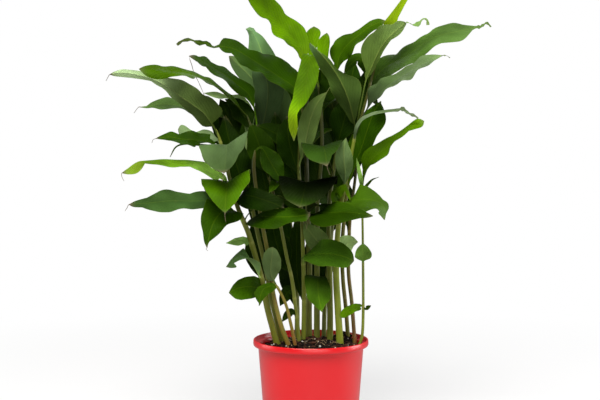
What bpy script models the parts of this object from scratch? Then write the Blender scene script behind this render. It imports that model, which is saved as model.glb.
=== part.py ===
# Potted cardamom plant: a round red nursery pot, potting soil, leafy canes and
# their leaves. Metres, +Z up, the pot's base centre at the origin, front at -Y.
import math

import bpy
import bmesh
from mathutils import Vector
from mathutils.bvhtree import BVHTree

# ---------------------------------------------------------------- dimensions
POT_HEIGHT = 0.150
RIM_RADIUS = 0.085
LIP_HEIGHT = 0.009
WALL_TOP_RADIUS = 0.0778
BASE_RADIUS = 0.0665
WALL = 0.0018
FLOOR = 0.0024
DRAIN_RADIUS = 0.0045
DRAIN_RING = 0.040
DRAIN_COUNT = 6
SOIL_EDGE = 0.1375
SOIL_CROWN = 0.1465
GAP = 0.0003
CANE_DEPTH = 0.030
CANE_SIDES = 8
BLADE = 0.0011
STATIONS = 10
FILL_STATIONS = 6

# Places on the plant are given as seen from the front, from EYE: u to the
# right and v down, both in steps of 1/FAR of the distance away, and y in mm
# behind the pot's axis.
EYE = Vector((-0.016, -1.2, 0.3546))
FAR = 812.0


def spot(u, v, y):
    away = y * 0.001 - EYE.y
    return Vector((EYE.x + (u - 300) * away / FAR, y * 0.001, EYE.z + (200 - v) * away / FAR))


# Canes: name, foot and top radius in mm, then places from the soil upward.
CANES = [
    ("cane_01", 4.9, 2.0, [(277, 343, 0), (268, 310, -8), (262, 280, -14), (255, 255, -20), (248, 232, -27),
                           (238, 208, -34), (230, 180, -39), (223, 150, -43), (216, 129, -46)]),
    ("cane_02", 3.8, 1.7, [(283, 341, 20), (278, 325, 19), (271, 298, 18), (266, 270, 16), (259, 240, 14),
                           (253, 212, 14), (246, 180, 16), (240, 150, 20), (232, 128, 24), (225, 115, 26)]),
    ("cane_03", 3.7, 1.8, [(288, 344, -16), (281, 325, -17), (275, 302, -14), (271, 280, -10), (268, 255, -10),
                           (263, 228, -14), (258, 200, -20), (254, 170, -26), (255, 150, -30)]),
    ("cane_04", 2.7, 1.4, [(295, 344, -20), (291, 325, -22), (286, 305, -24), (279, 290, -25), (273, 281, -26)]),
    ("cane_05", 3.0, 1.6, [(299, 340, 2), (296, 310, 2), (292, 280, 2), (287, 258, 2), (281, 228, 2),
                           (275, 200, 4), (267, 172, 8), (261, 152, 10), (254, 134, 14), (247, 115, 18)]),
    ("cane_06", 3.6, 1.8, [(303.5, 341, 20), (304, 318, 18), (304, 290, 16), (303, 250, 12), (302, 222, 8),
                           (300, 190, 0), (299, 165, -4), (300, 140, -8), (303, 118, -10), (301, 104, -11)]),
    ("cane_07", 4.6, 2.0, [(309, 338, 40), (309, 310, 38), (309.5, 280, 36), (309, 250, 34), (308, 215, 32),
                           (307, 180, 30), (306, 140, 28), (307, 100, 26), (307, 78, 23), (306, 63, 19)]),
    ("cane_08", 4.6, 1.7, [(317, 339, 30), (317, 310, 29), (317, 270, 27), (317, 235, 25), (318, 200, 23),
                           (321, 165, 21), (322, 140, 17), (321, 110, 13), (319, 90, 8), (316, 77, 3)]),
    ("cane_09", 4.7, 1.7, [(330, 340, 24), (330, 310, 22), (329.5, 270, 18), (329, 240, 15), (329, 210, 14),
                           (332, 180, 14), (337, 150, 14), (339, 125, 12), (338, 100, 10), (336, 78, 9)]),
    ("cane_10", 5.2, 1.9, [(340, 343, -6), (338, 310, -9), (336, 270, -12), (338, 230, -16), (341, 205, -20),
                           (345, 184, -24), (350, 162, -28), (354, 140, -31), (356, 127, -33)]),
    ("cane_11", 3.2, 1.6, [(348, 338, 32), (346, 310, 32), (343, 280, 34), (342, 250, 28), (344, 220, 26),
                           (347, 190, 27), (352, 160, 25), (358, 130, 22), (366, 100, 16), (374, 70, 10),
                           (382, 46, 4), (386.5, 33, 0)]),
    ("cane_12", 3.0, 1.8, [(354.5, 339, 14), (352, 305, 20), (348.5, 272, 27), (349, 240, 36), (351, 210, 42),
                           (355, 180, 42), (358, 150, 40), (361, 125, 36), (362, 104, 30)]),
    ("cane_13", 2.2, 1.4, [(359.2, 345.5, 0), (362.2, 335, 0), (363.2, 310, 0), (363, 260, 2), (362.5, 220, 2),
                           (362, 200, 2), (362, 189, 1)]),
    ("cane_14", 3.8, 1.8, [(297, 337, 46), (297, 300, 56), (294, 260, 70), (290, 220, 86), (286, 180, 102),
                           (282, 145, 116), (280, 118, 126)]),
    ("cane_15", 3.6, 1.8, [(324, 336, 56), (325, 300, 64), (329, 260, 76), (333, 220, 90), (338, 180, 104),
                           (340, 145, 116), (341, 120, 124)]),
]

# Leaves: node, cane, blade width in mm, facing of the upper side at the base
# and at the tip, V fold in degrees, the shares of the length where the stalk
# ends and where the blade is widest, then places along the midrib. A leaf with
# its cane's name is one body with the cane.
LEAVES = [
    ("leaf_01", "cane_01", 34, (0.3, 0.8, 0.5), (0.1, 0.8, 0.5), 14, (0.06, 0.40),
     [(215, 127, -46), (210, 121, -50), (203, 112, -52), (192, 104, -50), (180, 96, -47), (168, 87, -43),
      (154, 79.5, -38), (139, 75, -32), (122, 72.5, -26), (110, 74.5, -22)]),
    ("leaf_02", "cane_05", 22, (0.1, -0.5, 1), (0, -1.0, 0.9), 12, (0.06, 0.55),
     [(243, 107, 16), (228, 96, -4), (215, 86, -20), (200, 77.5, -36), (185, 73, -50), (170, 71, -62),
      (155, 68, -72), (139, 69, -78)]),
    ("leaf_03", "cane_05", 32, (0.4, -0.75, 0.8), (0.3, -0.75, 0.9), 12, (0.28, 0.60),
     [(257, 140, 12), (256, 118, 22), (250, 96, 26), (238, 85, 20), (224, 74.5, 12), (210, 66, 4),
      (199, 60, -4), (189, 56, -8)]),
    ("leaf_04", "cane_06", 42, (0.4, -0.85, 0.75), (0.2, -0.9, 0.8), 13, (0.06, 0.50),
     [(300, 101, -12), (294, 88, -17), (284, 80, -22), (272, 72, -28), (261, 65, -34), (247, 56, -41),
      (234, 49, -47), (219, 46, -52)]),
    ("leaf_05", "cane_02", 34, (0, -0.55, 0.9), (0, -0.75, 0.8), 14, (0.06, 0.40),
     [(226, 118, 25), (213, 115, 22), (199, 111, 16), (185, 107, 10), (172, 104.5, 4), (158, 104.5, 1),
      (148, 106.7, -2), (139, 107, -4)]),
    ("leaf_06", "cane_01", 22, (0, -0.6, 0.9), (0, -0.75, 0.8), 14, (0.06, 0.45),
     [(223, 151, -44), (212, 143, -56), (200, 140.5, -64), (185, 139.5, -70), (170, 137, -74), (156, 138.5, -76)]),
    ("leaf_07", "cane_01", 76, (-0.3, -0.3, 1), (-0.2, -0.6, 0.8), 14, (0.06, 0.48),
     [(228, 160, -43), (228, 149, -66), (227, 145, -92), (226, 156, -116), (224, 173, -130)]),
    ("leaf_08", "cane_01", 73, (-0.2, -0.3, 1), (-0.15, -0.6, 0.8), 16, (0.06, 0.45),
     [(233, 192, -38), (230, 184, -62), (228, 182, -90), (226, 195, -112), (225, 214, -124)]),
    ("leaf_09", "cane_01", 36, (0, -0.8, 0.6), (0, -0.75, 0.6), 10, (0.06, 0.50),
     [(240, 213, -34), (220, 204, -48), (205, 201, -58), (190, 201, -64), (170, 201, -70), (150, 203, -74),
      (129, 204.5, -76)]),
    ("leaf_10", "cane_01", 18, (0.3, -0.7, 0.8), (-0.2, -0.8, 0.7), 14, (0.06, 0.45),
     [(230, 184, -39), (219, 177, -46), (209, 172, -52), (200, 167, -57), (188, 163, -62), (170, 163.5, -70),
      (155, 161.7, -75), (144, 162, -78), (137, 166, -79), (130, 170.5, -80), (122, 173, -82)]),
    ("leaf_11", "cane_01", 48, (0.3, -0.35, 1), (0.3, -0.8, 0.8), 14, (0.06, 0.45),
     [(243, 220, -30), (232, 211, -52), (221, 213, -76), (212, 226, -94), (207, 248, -102)]),
    ("leaf_12", "cane_01", 38, (0.3, -0.35, 1), (-0.5, -0.6, 0.8), 14, (0.06, 0.50),
     [(261, 277, -15), (253, 264, -28), (244, 256, -40), (235, 258, -48), (226, 267, -52)]),
    ("leaf_13", "cane_01", 36, (0, -1, 0.3), (0, -1, 0.3), 10, (0.06, 0.50),
     [(263, 289, -13), (254, 287, -26), (244, 287, -34), (236, 289, -40), (229, 293, -44)]),
    ("leaf_14", "cane_07", 50, (0.35, -0.9, 0.45), (0.3, -0.95, 0.3), 12, (0.06, 0.55),
     [(305, 58, 17), (300, 46, 8), (290, 34, -2), (279, 23, -12), (269, 12, -20), (260, -2, -26), (252, -19, -30),
      (246, -36, -30)]),
    ("leaf_15", "cane_02", 44, (0.1, 0.9, 0.2), (0.3, 0.9, 0.2), 14, (0.06, 0.62),
     [(247, 184, 16), (262, 130, 40), (268, 95, 48), (266, 76, 48), (263, 58, 44), (258, 42, 36), (251, 31, 28),
      (246, 29, 22)]),
    ("leaf_16", "cane_08", 34, (-0.1, -0.2, 1), (0.2, -1, 0.3), 10, (0.10, 0.45),
     [(315, 74, 2), (314, 63, -8), (312, 56, -20), (310, 56, -33), (309, 66, -44), (305, 86, -53), (298, 105, -57),
      (293.5, 121, -59), (294, 141, -60)]),
    ("leaf_17", "cane_10", 50, (0.5, 0.75, 0.5), (0.4, 0.8, 0.5), 18, (0.06, 0.45),
     [(355, 123, -34), (350, 104, -44), (343, 86, -54), (334, 70, -62), (322, 55, -68), (310, 43, -72)]),
    ("leaf_18", "cane_09", 38, (-0.3, -0.75, 0.55), (-0.3, -0.8, 0.5), 14, (0.06, 0.45),
     [(336, 73, 8), (338, 61, 2), (343, 50, -4), (350, 42, -10), (360, 34, -16), (371, 26, -22), (385, 20.5, -26)]),
    ("leaf_19", "cane_10", 38, (-0.5, 0.85, 0.35), (-0.3, 0.85, 0.5), 20, (0.42, 0.72),
     [(357, 124, -32), (361, 103, -20), (366, 80, -16), (372, 66, -17), (380, 49, -22), (390, 36, -28),
      (405, 23, -34)]),
    ("leaf_20", "cane_11", 26, (-0.4, -0.8, 0.3), (-0.4, -0.8, 0.3), 24, (0.03, 0.30),
     [(387, 36, 1), (388.5, 28, -2), (391, 21, -4), (399, 7, -6), (406, -7, -8), (412, -20, -8), (416, -30, -8)]),
    ("leaf_21", "cane_12", 40, (-0.3, -0.6, 0.8), (-0.1, -0.9, 0.6), 14, (0.06, 0.60),
     [(363, 99, 30), (372, 82, 32), (384, 68, 26), (398, 60, 16), (412, 52, 6), (424, 43, -4), (438, 36, -12),
      (455, 32, -18), (478, 27, -24)]),
    ("leaf_22", "cane_10", 32, (-0.5, -0.3, 0.7), (-0.3, -0.55, 0.8), 14, (0.20, 0.55),
     [(356, 132, -32), (365, 112, -42), (376, 97, -50), (387, 86, -56), (400, 77, -60), (416, 67.5, -62),
      (430, 60, -62), (443, 55.5, -62)]),
    ("leaf_23", "cane_11", 46, (-0.35, -0.9, 0.25), (-0.3, -0.9, 0.2), 12, (0.06, 0.55),
     [(348, 186, 24), (355, 165, 10), (362, 146, -2), (368, 128, -8), (374, 112, -12), (381, 101, -14)]),
    ("leaf_24", "cane_13", 31, (-0.4, -0.75, 0.6), (-0.2, -0.8, 0.6), 12, (0.10, 0.33),
     [(362.5, 188, 0), (364, 176, -4), (368, 164, -8), (376, 155, -12), (386, 148, -15), (397, 139, -19),
      (409, 130, -23), (424, 121, -27)]),
    ("leaf_25", "cane_10", 56, (0.1, -0.55, 0.8), (0.5, -0.8, 0.3), 10, (0.04, 0.42),
     [(341, 207, -21), (343, 203, -36), (351, 200.5, -52), (364, 199.5, -64), (377, 201.5, -74), (384.5, 208, -80),
      (384.5, 220, -82)]),
    ("leaf_26", "cane_08", 40, (0, -0.35, 1), (0.1, -0.75, 0.7), 10, (0.12, 0.45),
     [(318, 220, 24), (312, 216, -2), (314, 214, -26), (326, 213, -46), (342, 212, -60), (357, 213, -70),
      (373, 216, -76)]),
    ("leaf_27", "cane_09", 58, (-0.15, -0.3, 1), (-0.1, -0.6, 0.8), 12, (0.06, 0.50),
     [(333, 172, 12), (326, 154, -24), (323, 146, -58), (325, 152, -84), (327, 166, -100)]),
    ("leaf_28", "cane_06", 78, (0.05, -0.5, 1), (0, -0.7, 0.7), 10, (0.06, 0.50),
     [(301, 202, 2), (305, 188, -30), (306, 182, -58), (304, 192, -82), (300, 207, -94)]),
    ("leaf_29", "cane_01", 34, (-0.3, -0.6, 0.8), (0, -0.85, 0.5), 8, (0.05, 0.45),
     [(246, 224, -30), (252, 219, -44), (262, 217, -56), (275, 217, -65), (288, 217, -71), (300, 216, -75),
      (310, 214, -77)]),
    ("leaf_30", "cane_01", 42, (-0.3, -0.6, 0.8), (0, -0.9, 0.5), 10, (0.06, 0.50),
     [(236, 202, -36), (241, 196, -46), (250, 196, -54), (261, 199, -58), (273, 203, -60), (284, 208, -62)]),
    ("leaf_31", "cane_06", 42, (-0.2, -0.4, 1), (0.2, -1, 0.4), 6, (0.10, 0.50),
     [(303.5, 264, 12), (303, 258, -8), (307, 254, -26), (317, 254, -38), (330, 254, -46), (342, 256, -52),
      (354, 261, -54)]),
    ("leaf_32", "cane_08", 38, (0, -0.1, 1), (0, -1, 0.1), 8, (0.06, 0.45),
     [(317, 284, 26), (318, 277, 4), (318, 279, -14), (318, 288, -24), (319, 299, -28), (322, 312, -28)]),
    ("leaf_33", "cane_06", 30, (-0.2, 1, 0.15), (-0.2, 1, 0.15), 12, (0.06, 0.55),
     [(300, 165, -6), (304, 150, -22), (307, 134, -28), (311, 117, -32), (318, 102, -34), (327, 92, -36)]),
    # small leaves low on the canes
    ("leaf_34", "cane_01", 16, (0, -0.8, 0.6), (0, -0.8, 0.6), 24, (0.06, 0.35),
     [(249, 243, -23), (242, 240, -32), (234, 241, -38), (226, 243, -41)]),
    ("leaf_35", "cane_04", 20, (0.2, -0.8, 0.5), (0.1, -0.9, 0.4), 14, (0.06, 0.45),
     [(277, 287, -25), (270, 286, -34), (263, 290, -40), (260, 298, -44), (259, 306, -46)]),
    ("leaf_36", "cane_04", 28, (0.1, 1, 0.25), (0.1, 1, 0.2), 10, (0.06, 0.50),
     [(272, 283, -26), (271, 274, -28), (271, 264, -30), (272, 255, -31), (272.5, 247, -31)]),
    ("leaf_37", "cane_13", 26, (0, -1, 0.15), (0, -1, 0.1), 16, (0.06, 0.45),
     [(363, 263, 1), (363, 256, -5), (363, 250, -8), (363, 243, -9)]),
    ("leaf_38", "cane_13", 13, (0, -0.8, 0.6), (0, -0.8, 0.6), 12, (0.06, 0.45),
     [(363, 306, 0), (356, 307.5, -8), (349, 310, -14), (340, 317, -18)]),
    # small leaves at the top
    ("leaf_39", "cane_08", 20, (0.2, -1, 0.1), (0.2, -1, 0.1), 14, (0.06, 0.60),
     [(318, 86, 6), (315, 66, 18), (313, 50, 24), (313, 38, 24), (314, 26.5, 22)]),
    ("leaf_40", "cane_09", 18, (0.1, -1, 0.1), (0.1, -1, 0.1), 22, (0.06, 0.60),
     [(337, 90, 9), (328, 72, 0), (324, 56, -4), (324, 44, -6), (327, 33, -8)]),
    ("leaf_41", "cane_11", 22, (-0.2, -0.9, 0.5), (-0.2, -0.9, 0.5), 12, (0.06, 0.50),
     [(370, 84, 13), (366, 66, 20), (358, 59, 24), (350, 65, 26), (344, 74, 26)]),
    ("leaf_42", "cane_02", 14, (0, 0.5, 1), (0, 0.4, 1), 12, (0.06, 0.50),
     [(243, 163, 18), (249, 125, 36), (246, 105, 44), (234, 98.5, 44), (219, 96, 42), (204, 93, 40)]),
    ("leaf_43", "cane_10", 9, (-0.2, -0.3, 1), (0, -0.3, 1), 10, (0.10, 0.40),
     [(354.2, 139, -31), (356, 129, -40), (361, 120, -42), (371, 114.5, -44), (384, 111.5, -46), (398, 110, -46)]),
    # leaves inside the clump
    ("cane_10", "cane_10", 26, (0, 1, 0.1), (0, 1, 0.1), 12, (0.06, 0.60),
     [(345, 187, -24), (345, 173, -40), (344, 160, -46), (344, 148, -50), (346, 138, -52)]),
    ("cane_03", "cane_03", 34, (0.4, -0.85, 0.4), (0.3, -0.9, 0.3), 10, (0.06, 0.50),
     [(255, 146, -32), (262, 148, -44), (268, 158, -50), (275, 170, -53), (283, 183, -54)]),
    ("cane_07", "cane_07", 40, (0.2, -0.75, 0.7), (0.2, -0.75, 0.6), 12, (0.06, 0.50),
     [(306.5, 165, 28), (294, 150, 22), (282, 138, 18), (269, 130, 16), (256, 125, 16)]),
    ("cane_10", "cane_10", 30, (-0.1, 1, 0.15), (0.1, 1, 0.15), 10, (0.06, 0.50),
     [(337, 252, -13), (342, 248, 4), (347, 244, 10), (352, 242, 12), (358, 242, 13)]),
    ("cane_09", "cane_09", 34, (0.2, 1, 0.2), (0.2, 1, 0.2), 10, (0.06, 0.50),
     [(329.5, 255, 14), (322, 246, 0), (315, 238, -6), (309, 230, -9), (304, 222, -10)]),
    ("cane_05", "cane_05", 42, (0.3, -0.9, 0.3), (0.2, -0.9, 0.3), 10, (0.06, 0.50),
     [(281, 226, 2), (272, 205, -8), (266, 188, -10), (262, 170, -10), (262, 152, -8)]),
    ("cane_07", "cane_07", 44, (0.3, -0.9, 0.2), (0.2, -0.9, 0.2), 10, (0.06, 0.50),
     [(307, 195, 29), (296, 178, 22), (286, 160, 20), (278, 138, 22), (275, 112, 26)]),
    ("cane_09", "cane_09", 44, (-0.2, -0.9, 0.3), (-0.1, -0.9, 0.3), 10, (0.06, 0.50),
     [(330, 196, 14), (322, 184, 2), (316, 170, -2), (314, 152, 2), (318, 132, 6)]),
    ("cane_02", "cane_02", 46, (0.3, -0.8, 0.5), (0.3, -0.8, 0.5), 10, (0.06, 0.50),
     [(250, 200, 15), (240, 176, 8), (234, 156, 6), (228, 136, 8), (224, 116, 12)]),
    ("cane_14", "cane_14", 56, (0.3, -0.9, 0.3), (-0.1, -0.9, 0.4), 12, (0.06, 0.50),
     [(294, 262, 70), (283, 242, 62), (270, 222, 58), (257, 204, 57), (246, 190, 58)]),
    ("cane_14", "cane_14", 58, (0.3, -0.9, 0.3), (-0.1, -0.9, 0.4), 12, (0.06, 0.50),
     [(292, 240, 78), (279, 214, 72), (264, 190, 70), (249, 168, 70), (236, 150, 72)]),
    ("cane_07", "cane_07", 50, (0.3, -0.9, 0.3), (-0.1, -0.9, 0.4), 12, (0.06, 0.50),
     [(308, 225, 33), (298, 204, 44), (288, 184, 48), (279, 166, 50), (272, 150, 52)]),
    ("cane_14", "cane_14", 58, (0.3, -0.9, 0.3), (-0.1, -0.9, 0.4), 12, (0.06, 0.50),
     [(289, 212, 90), (277, 186, 85), (263, 160, 83), (250, 137, 83), (239, 118, 85)]),
    ("cane_14", "cane_14", 56, (0.2, 0.9, 0.3), (0.3, 0.9, 0.3), 12, (0.06, 0.45),
     [(286, 178, 102), (282, 150, 97), (276, 122, 94), (266, 98, 92), (250, 76, 92), (229, 56, 92)]),
    ("cane_14", "cane_14", 50, (-0.2, -0.9, 0.3), (-0.1, -0.9, 0.4), 12, (0.06, 0.50),
     [(282, 146, 115), (289, 124, 106), (294, 104, 102), (299, 86, 100), (303, 70, 100)]),
    ("cane_15", "cane_15", 56, (0.3, -0.9, 0.3), (0.1, -0.9, 0.4), 12, (0.06, 0.50),
     [(333, 256, 77), (322, 236, 66), (309, 218, 62), (296, 202, 60), (285, 190, 60)]),
    ("cane_15", "cane_15", 56, (0.3, -0.9, 0.3), (0.1, -0.9, 0.4), 12, (0.06, 0.50),
     [(335, 222, 89), (326, 196, 80), (316, 172, 76), (307, 150, 75), (299, 130, 76)]),
    ("cane_15", "cane_15", 54, (-0.2, -0.9, 0.3), (-0.2, -0.9, 0.4), 12, (0.06, 0.50),
     [(337, 198, 97), (343, 174, 88), (348, 152, 83), (352, 132, 82), (355, 114, 83)]),
    ("cane_15", "cane_15", 54, (0.2, -0.9, 0.3), (0.1, -0.9, 0.4), 12, (0.06, 0.50),
     [(339, 168, 107), (333, 144, 98), (326, 122, 94), (319, 102, 93), (313, 84, 94)]),
    ("cane_15", "cane_15", 48, (-0.2, -0.9, 0.3), (-0.2, -0.9, 0.4), 12, (0.06, 0.50),
     [(341, 130, 120), (345, 110, 110), (349, 92, 106), (352, 76, 105), (355, 62, 106)]),
    ("cane_12", "cane_12", 44, (-0.1, -0.9, 0.3), (0.1, -0.9, 0.4), 12, (0.06, 0.50),
     [(350, 232, 39), (345, 212, 50), (339, 194, 54), (333, 178, 56), (328, 163, 58)]),
    # dark leaves between the canes
    ("cane_06", "cane_06", 44, (0.1, -0.9, 0.4), (0.1, -0.9, 0.3), 10, (0.06, 0.50),
     [(299.5, 178, -3), (296, 166, -16), (291, 150, -24), (288, 134, -28), (287, 116, -30)]),
    ("cane_08", "cane_08", 46, (0.1, -0.9, 0.4), (0.1, -0.9, 0.3), 10, (0.06, 0.50),
     [(319, 187, 22), (314, 171, 0), (309, 156, -10), (306, 142, -12), (305, 126, -13)]),
    ("cane_05", "cane_05", 44, (0.2, -0.9, 0.4), (0.2, -0.9, 0.3), 10, (0.06, 0.50),
     [(268.5, 178, 6), (266, 166, -4), (261, 151, -12), (256, 137, -16), (250, 123, -18)]),
    ("cane_09", "cane_09", 44, (-0.2, -0.9, 0.4), (-0.1, -0.9, 0.3), 10, (0.06, 0.50),
     [(337.5, 146, 14), (340, 135, 2), (344, 121, -4), (347, 108, -8), (349, 93, -10)]),
    ("cane_08", "cane_08", 38, (-0.2, -0.9, 0.4), (-0.1, -0.9, 0.3), 10, (0.06, 0.50),
     [(320.5, 106, 12), (324, 98, 6), (330, 90, 2), (336, 82, 0), (341, 71, -2)]),
    ("cane_05", "cane_05", 20, (0.1, -0.9, 0.3), (0.1, -0.9, 0.3), 10, (0.06, 0.45),
     [(295, 298, 2), (292, 291, 10), (288, 292, 14), (284, 298, 15), (280, 306, 15)]),
    ("cane_05", "cane_05", 12, (0.1, -0.9, 0.3), (0.1, -0.9, 0.3), 10, (0.06, 0.45),
     [(296.5, 316, 2), (292, 312, -6), (287, 315, -10), (282, 322, -12)]),
    ("cane_14", "cane_14", 38, (0.1, -0.9, 0.3), (0.1, -0.9, 0.3), 10, (0.06, 0.50),
     [(297, 308, 54), (293, 292, 62), (290, 276, 66), (288, 258, 68), (287, 238, 68)]),
    ("cane_07", "cane_07", 36, (-0.1, -0.9, 0.3), (-0.1, -0.9, 0.3), 10, (0.06, 0.50),
     [(309.2, 300, 38), (312, 286, 48), (314, 268, 52), (313, 250, 54), (311, 232, 54)]),
    ("cane_15", "cane_15", 36, (0, -0.9, 0.3), (0, -0.9, 0.3), 10, (0.06, 0.50),
     [(325, 302, 64), (322, 288, 74), (322, 270, 80), (324, 250, 84), (326, 232, 86)]),
    ("cane_14", "cane_14", 44, (0.1, -0.9, 0.3), (0.1, -0.9, 0.3), 10, (0.06, 0.50),
     [(294, 266, 69), (288, 256, 80), (279, 248, 84), (269, 241, 86), (257, 234, 86)]),
    ("cane_15", "cane_15", 44, (0.1, -0.9, 0.3), (0.1, -0.9, 0.3), 10, (0.06, 0.50),
     [(330, 279, 71), (322, 263, 84), (312, 249, 88), (303, 239, 90), (291, 231, 90)]),
    ("cane_05", "cane_05", 22, (-0.2, -0.5, 1), (-0.2, -0.7, 0.7), 10, (0.06, 0.45),
     [(270.5, 191, 5), (279, 183, -14), (277, 182, -30), (269, 193, -40)]),
    ("cane_10", "cane_10", 32, (0, -0.7, 0.7), (0, -0.8, 0.6), 10, (0.06, 0.50),
     [(341.5, 204, -21), (336, 199, -34), (335, 193, -42), (339, 188, -46), (347, 184, -48)]),
    # two small ones at the top of the slender cane
    ("cane_13", "cane_13", 7, (-0.3, -0.9, 0.3), (-0.3, -0.9, 0.3), 20, (0.06, 0.50),
     [(362, 192, 1), (361, 181, -3), (359, 170, -5), (356.5, 158, -6)]),
    ("cane_13", "cane_13", 6, (0, -0.4, 1), (0, -0.4, 1), 10, (0.06, 0.50),
     [(362, 199, 2), (366, 187, 6), (372, 180, 9), (379, 177, 10)]),
    ("cane_13", "cane_13", 7, (0, -0.8, 0.6), (0, -0.8, 0.6), 12, (0.06, 0.50),
     [(363, 308, 0), (366, 308.5, -5), (371, 305.5, -8)]),
    ("cane_02", "cane_02", 40, (0.1, -0.9, 0.3), (0.1, -0.9, 0.3), 10, (0.06, 0.50),
     [(268.5, 284, 17), (262, 272, 28), (258, 256, 34), (256, 240, 36), (252, 222, 36)]),
    ("cane_05", "cane_05", 40, (0.1, -0.9, 0.3), (0.1, -0.9, 0.3), 10, (0.06, 0.50),
     [(290.3, 274, 2), (284, 264, 16), (279, 251, 26), (275, 238, 30), (272, 222, 30)]),
    ("cane_06", "cane_06", 21, (0.1, -0.9, 0.3), (0.1, -0.9, 0.3), 10, (0.06, 0.50),
     [(303.7, 302, 17), (299.5, 288, 30), (297, 270, 37), (296.5, 252, 38), (297, 228, 38)]),
    ("cane_02", "cane_02", 36, (0.1, -0.8, 0.5), (0.1, -0.8, 0.5), 10, (0.06, 0.50),
     [(236.7, 141, 22), (233, 130, 36), (229, 119, 42), (225, 109, 44), (220, 99, 44)]),
    ("cane_01", "cane_01", 15, (0, -0.8, 0.7), (0, -0.8, 0.7), 10, (0.06, 0.62),
     [(220, 142, -45), (214, 136.5, -49), (205, 133, -51), (192, 132, -54), (178, 129.5, -58)]),
    ("cane_01", "cane_01", 6, (0, -0.8, 0.7), (0, -0.8, 0.7), 10, (0.06, 0.62),
     [(223, 150, -43), (213, 146, -50), (200, 145, -53), (186, 144, -57), (176, 147, -60), (170, 157, -62)]),
    ("cane_02", "cane_02", 42, (0.1, -0.8, 0.5), (0.1, -0.8, 0.5), 10, (0.06, 0.50),
     [(241.5, 156, 19), (233, 147, 0), (225, 135, -10), (219, 122, -16), (215, 108, -18)]),
    ("cane_05", "cane_05", 36, (0.2, -0.8, 0.5), (0.2, -0.8, 0.5), 10, (0.06, 0.50),
     [(252, 131, 15), (247, 122, 28), (242, 113, 34), (235, 105, 36), (225, 99, 36)]),
    ("cane_08", "cane_08", 18, (-0.1, -0.9, 0.3), (-0.1, -0.9, 0.3), 10, (0.06, 0.50),
     [(320, 99, 10), (322, 90, 18), (322, 79, 22), (321, 66, 22)]),
    ("cane_11", "cane_11", 26, (-0.1, -0.9, 0.3), (-0.1, -0.9, 0.3), 10, (0.06, 0.50),
     [(360.5, 122, 21), (358, 112, 32), (359, 100, 38), (362, 87, 40), (364, 72, 40)]),
    # leaves at the back of the clump
    ("cane_14", "cane_14", 54, (0, -0.8, 1), (0, 1, 0.8), 12, (0.06, 0.50),
     [(280, 114, 128), (277, 96, 140), (273, 84, 160), (270, 80, 184), (268, 86, 206), (267, 100, 222)]),
    ("cane_14", "cane_14", 56, (0.6, -0.6, 1), (-0.7, 0.5, 0.8), 12, (0.06, 0.50),
     [(284, 161, 110), (272, 148, 124), (258, 139, 140), (244, 136, 156), (232, 141, 170), (224, 152, 180)]),
    ("cane_14", "cane_14", 54, (0, -0.8, 1), (0, 1, 0.8), 12, (0.06, 0.50),
     [(295, 278, 66), (295, 258, 90), (297, 244, 118), (299, 238, 146), (300, 242, 170), (300, 254, 186)]),
    ("cane_15", "cane_15", 54, (0, -0.8, 1), (0, 1, 0.8), 12, (0.06, 0.50),
     [(341, 116, 125), (343, 98, 136), (345, 85, 154), (346, 79, 178), (347, 84, 202), (347, 96, 220)]),
    ("cane_15", "cane_15", 54, (-0.6, -0.6, 1), (0.7, 0.5, 0.8), 12, (0.06, 0.50),
     [(339, 172, 107), (348, 161, 122), (357, 155, 140), (364, 155, 158), (369, 162, 172)]),
    ("cane_15", "cane_15", 54, (0, -0.8, 1), (0, 1, 0.8), 12, (0.06, 0.50),
     [(331.5, 238, 83), (330, 228, 104), (329, 220, 126), (327, 217, 150), (325, 222, 174), (324, 234, 190)]),
    ("cane_07", "cane_07", 50, (0, -0.8, 1), (0, 0.9, 0.8), 12, (0.06, 0.50),
     [(307, 110, 27), (312, 96, 48), (317, 84, 74), (320, 78, 102), (322, 80, 130), (323, 88, 152)]),
    ("cane_12", "cane_12", 48, (0, -0.7, 1), (0, 0.9, 0.8), 12, (0.06, 0.50),
     [(352, 200, 42), (356, 189, 58), (359, 181, 78), (361, 180, 98), (361, 187, 118)]),
]


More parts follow.
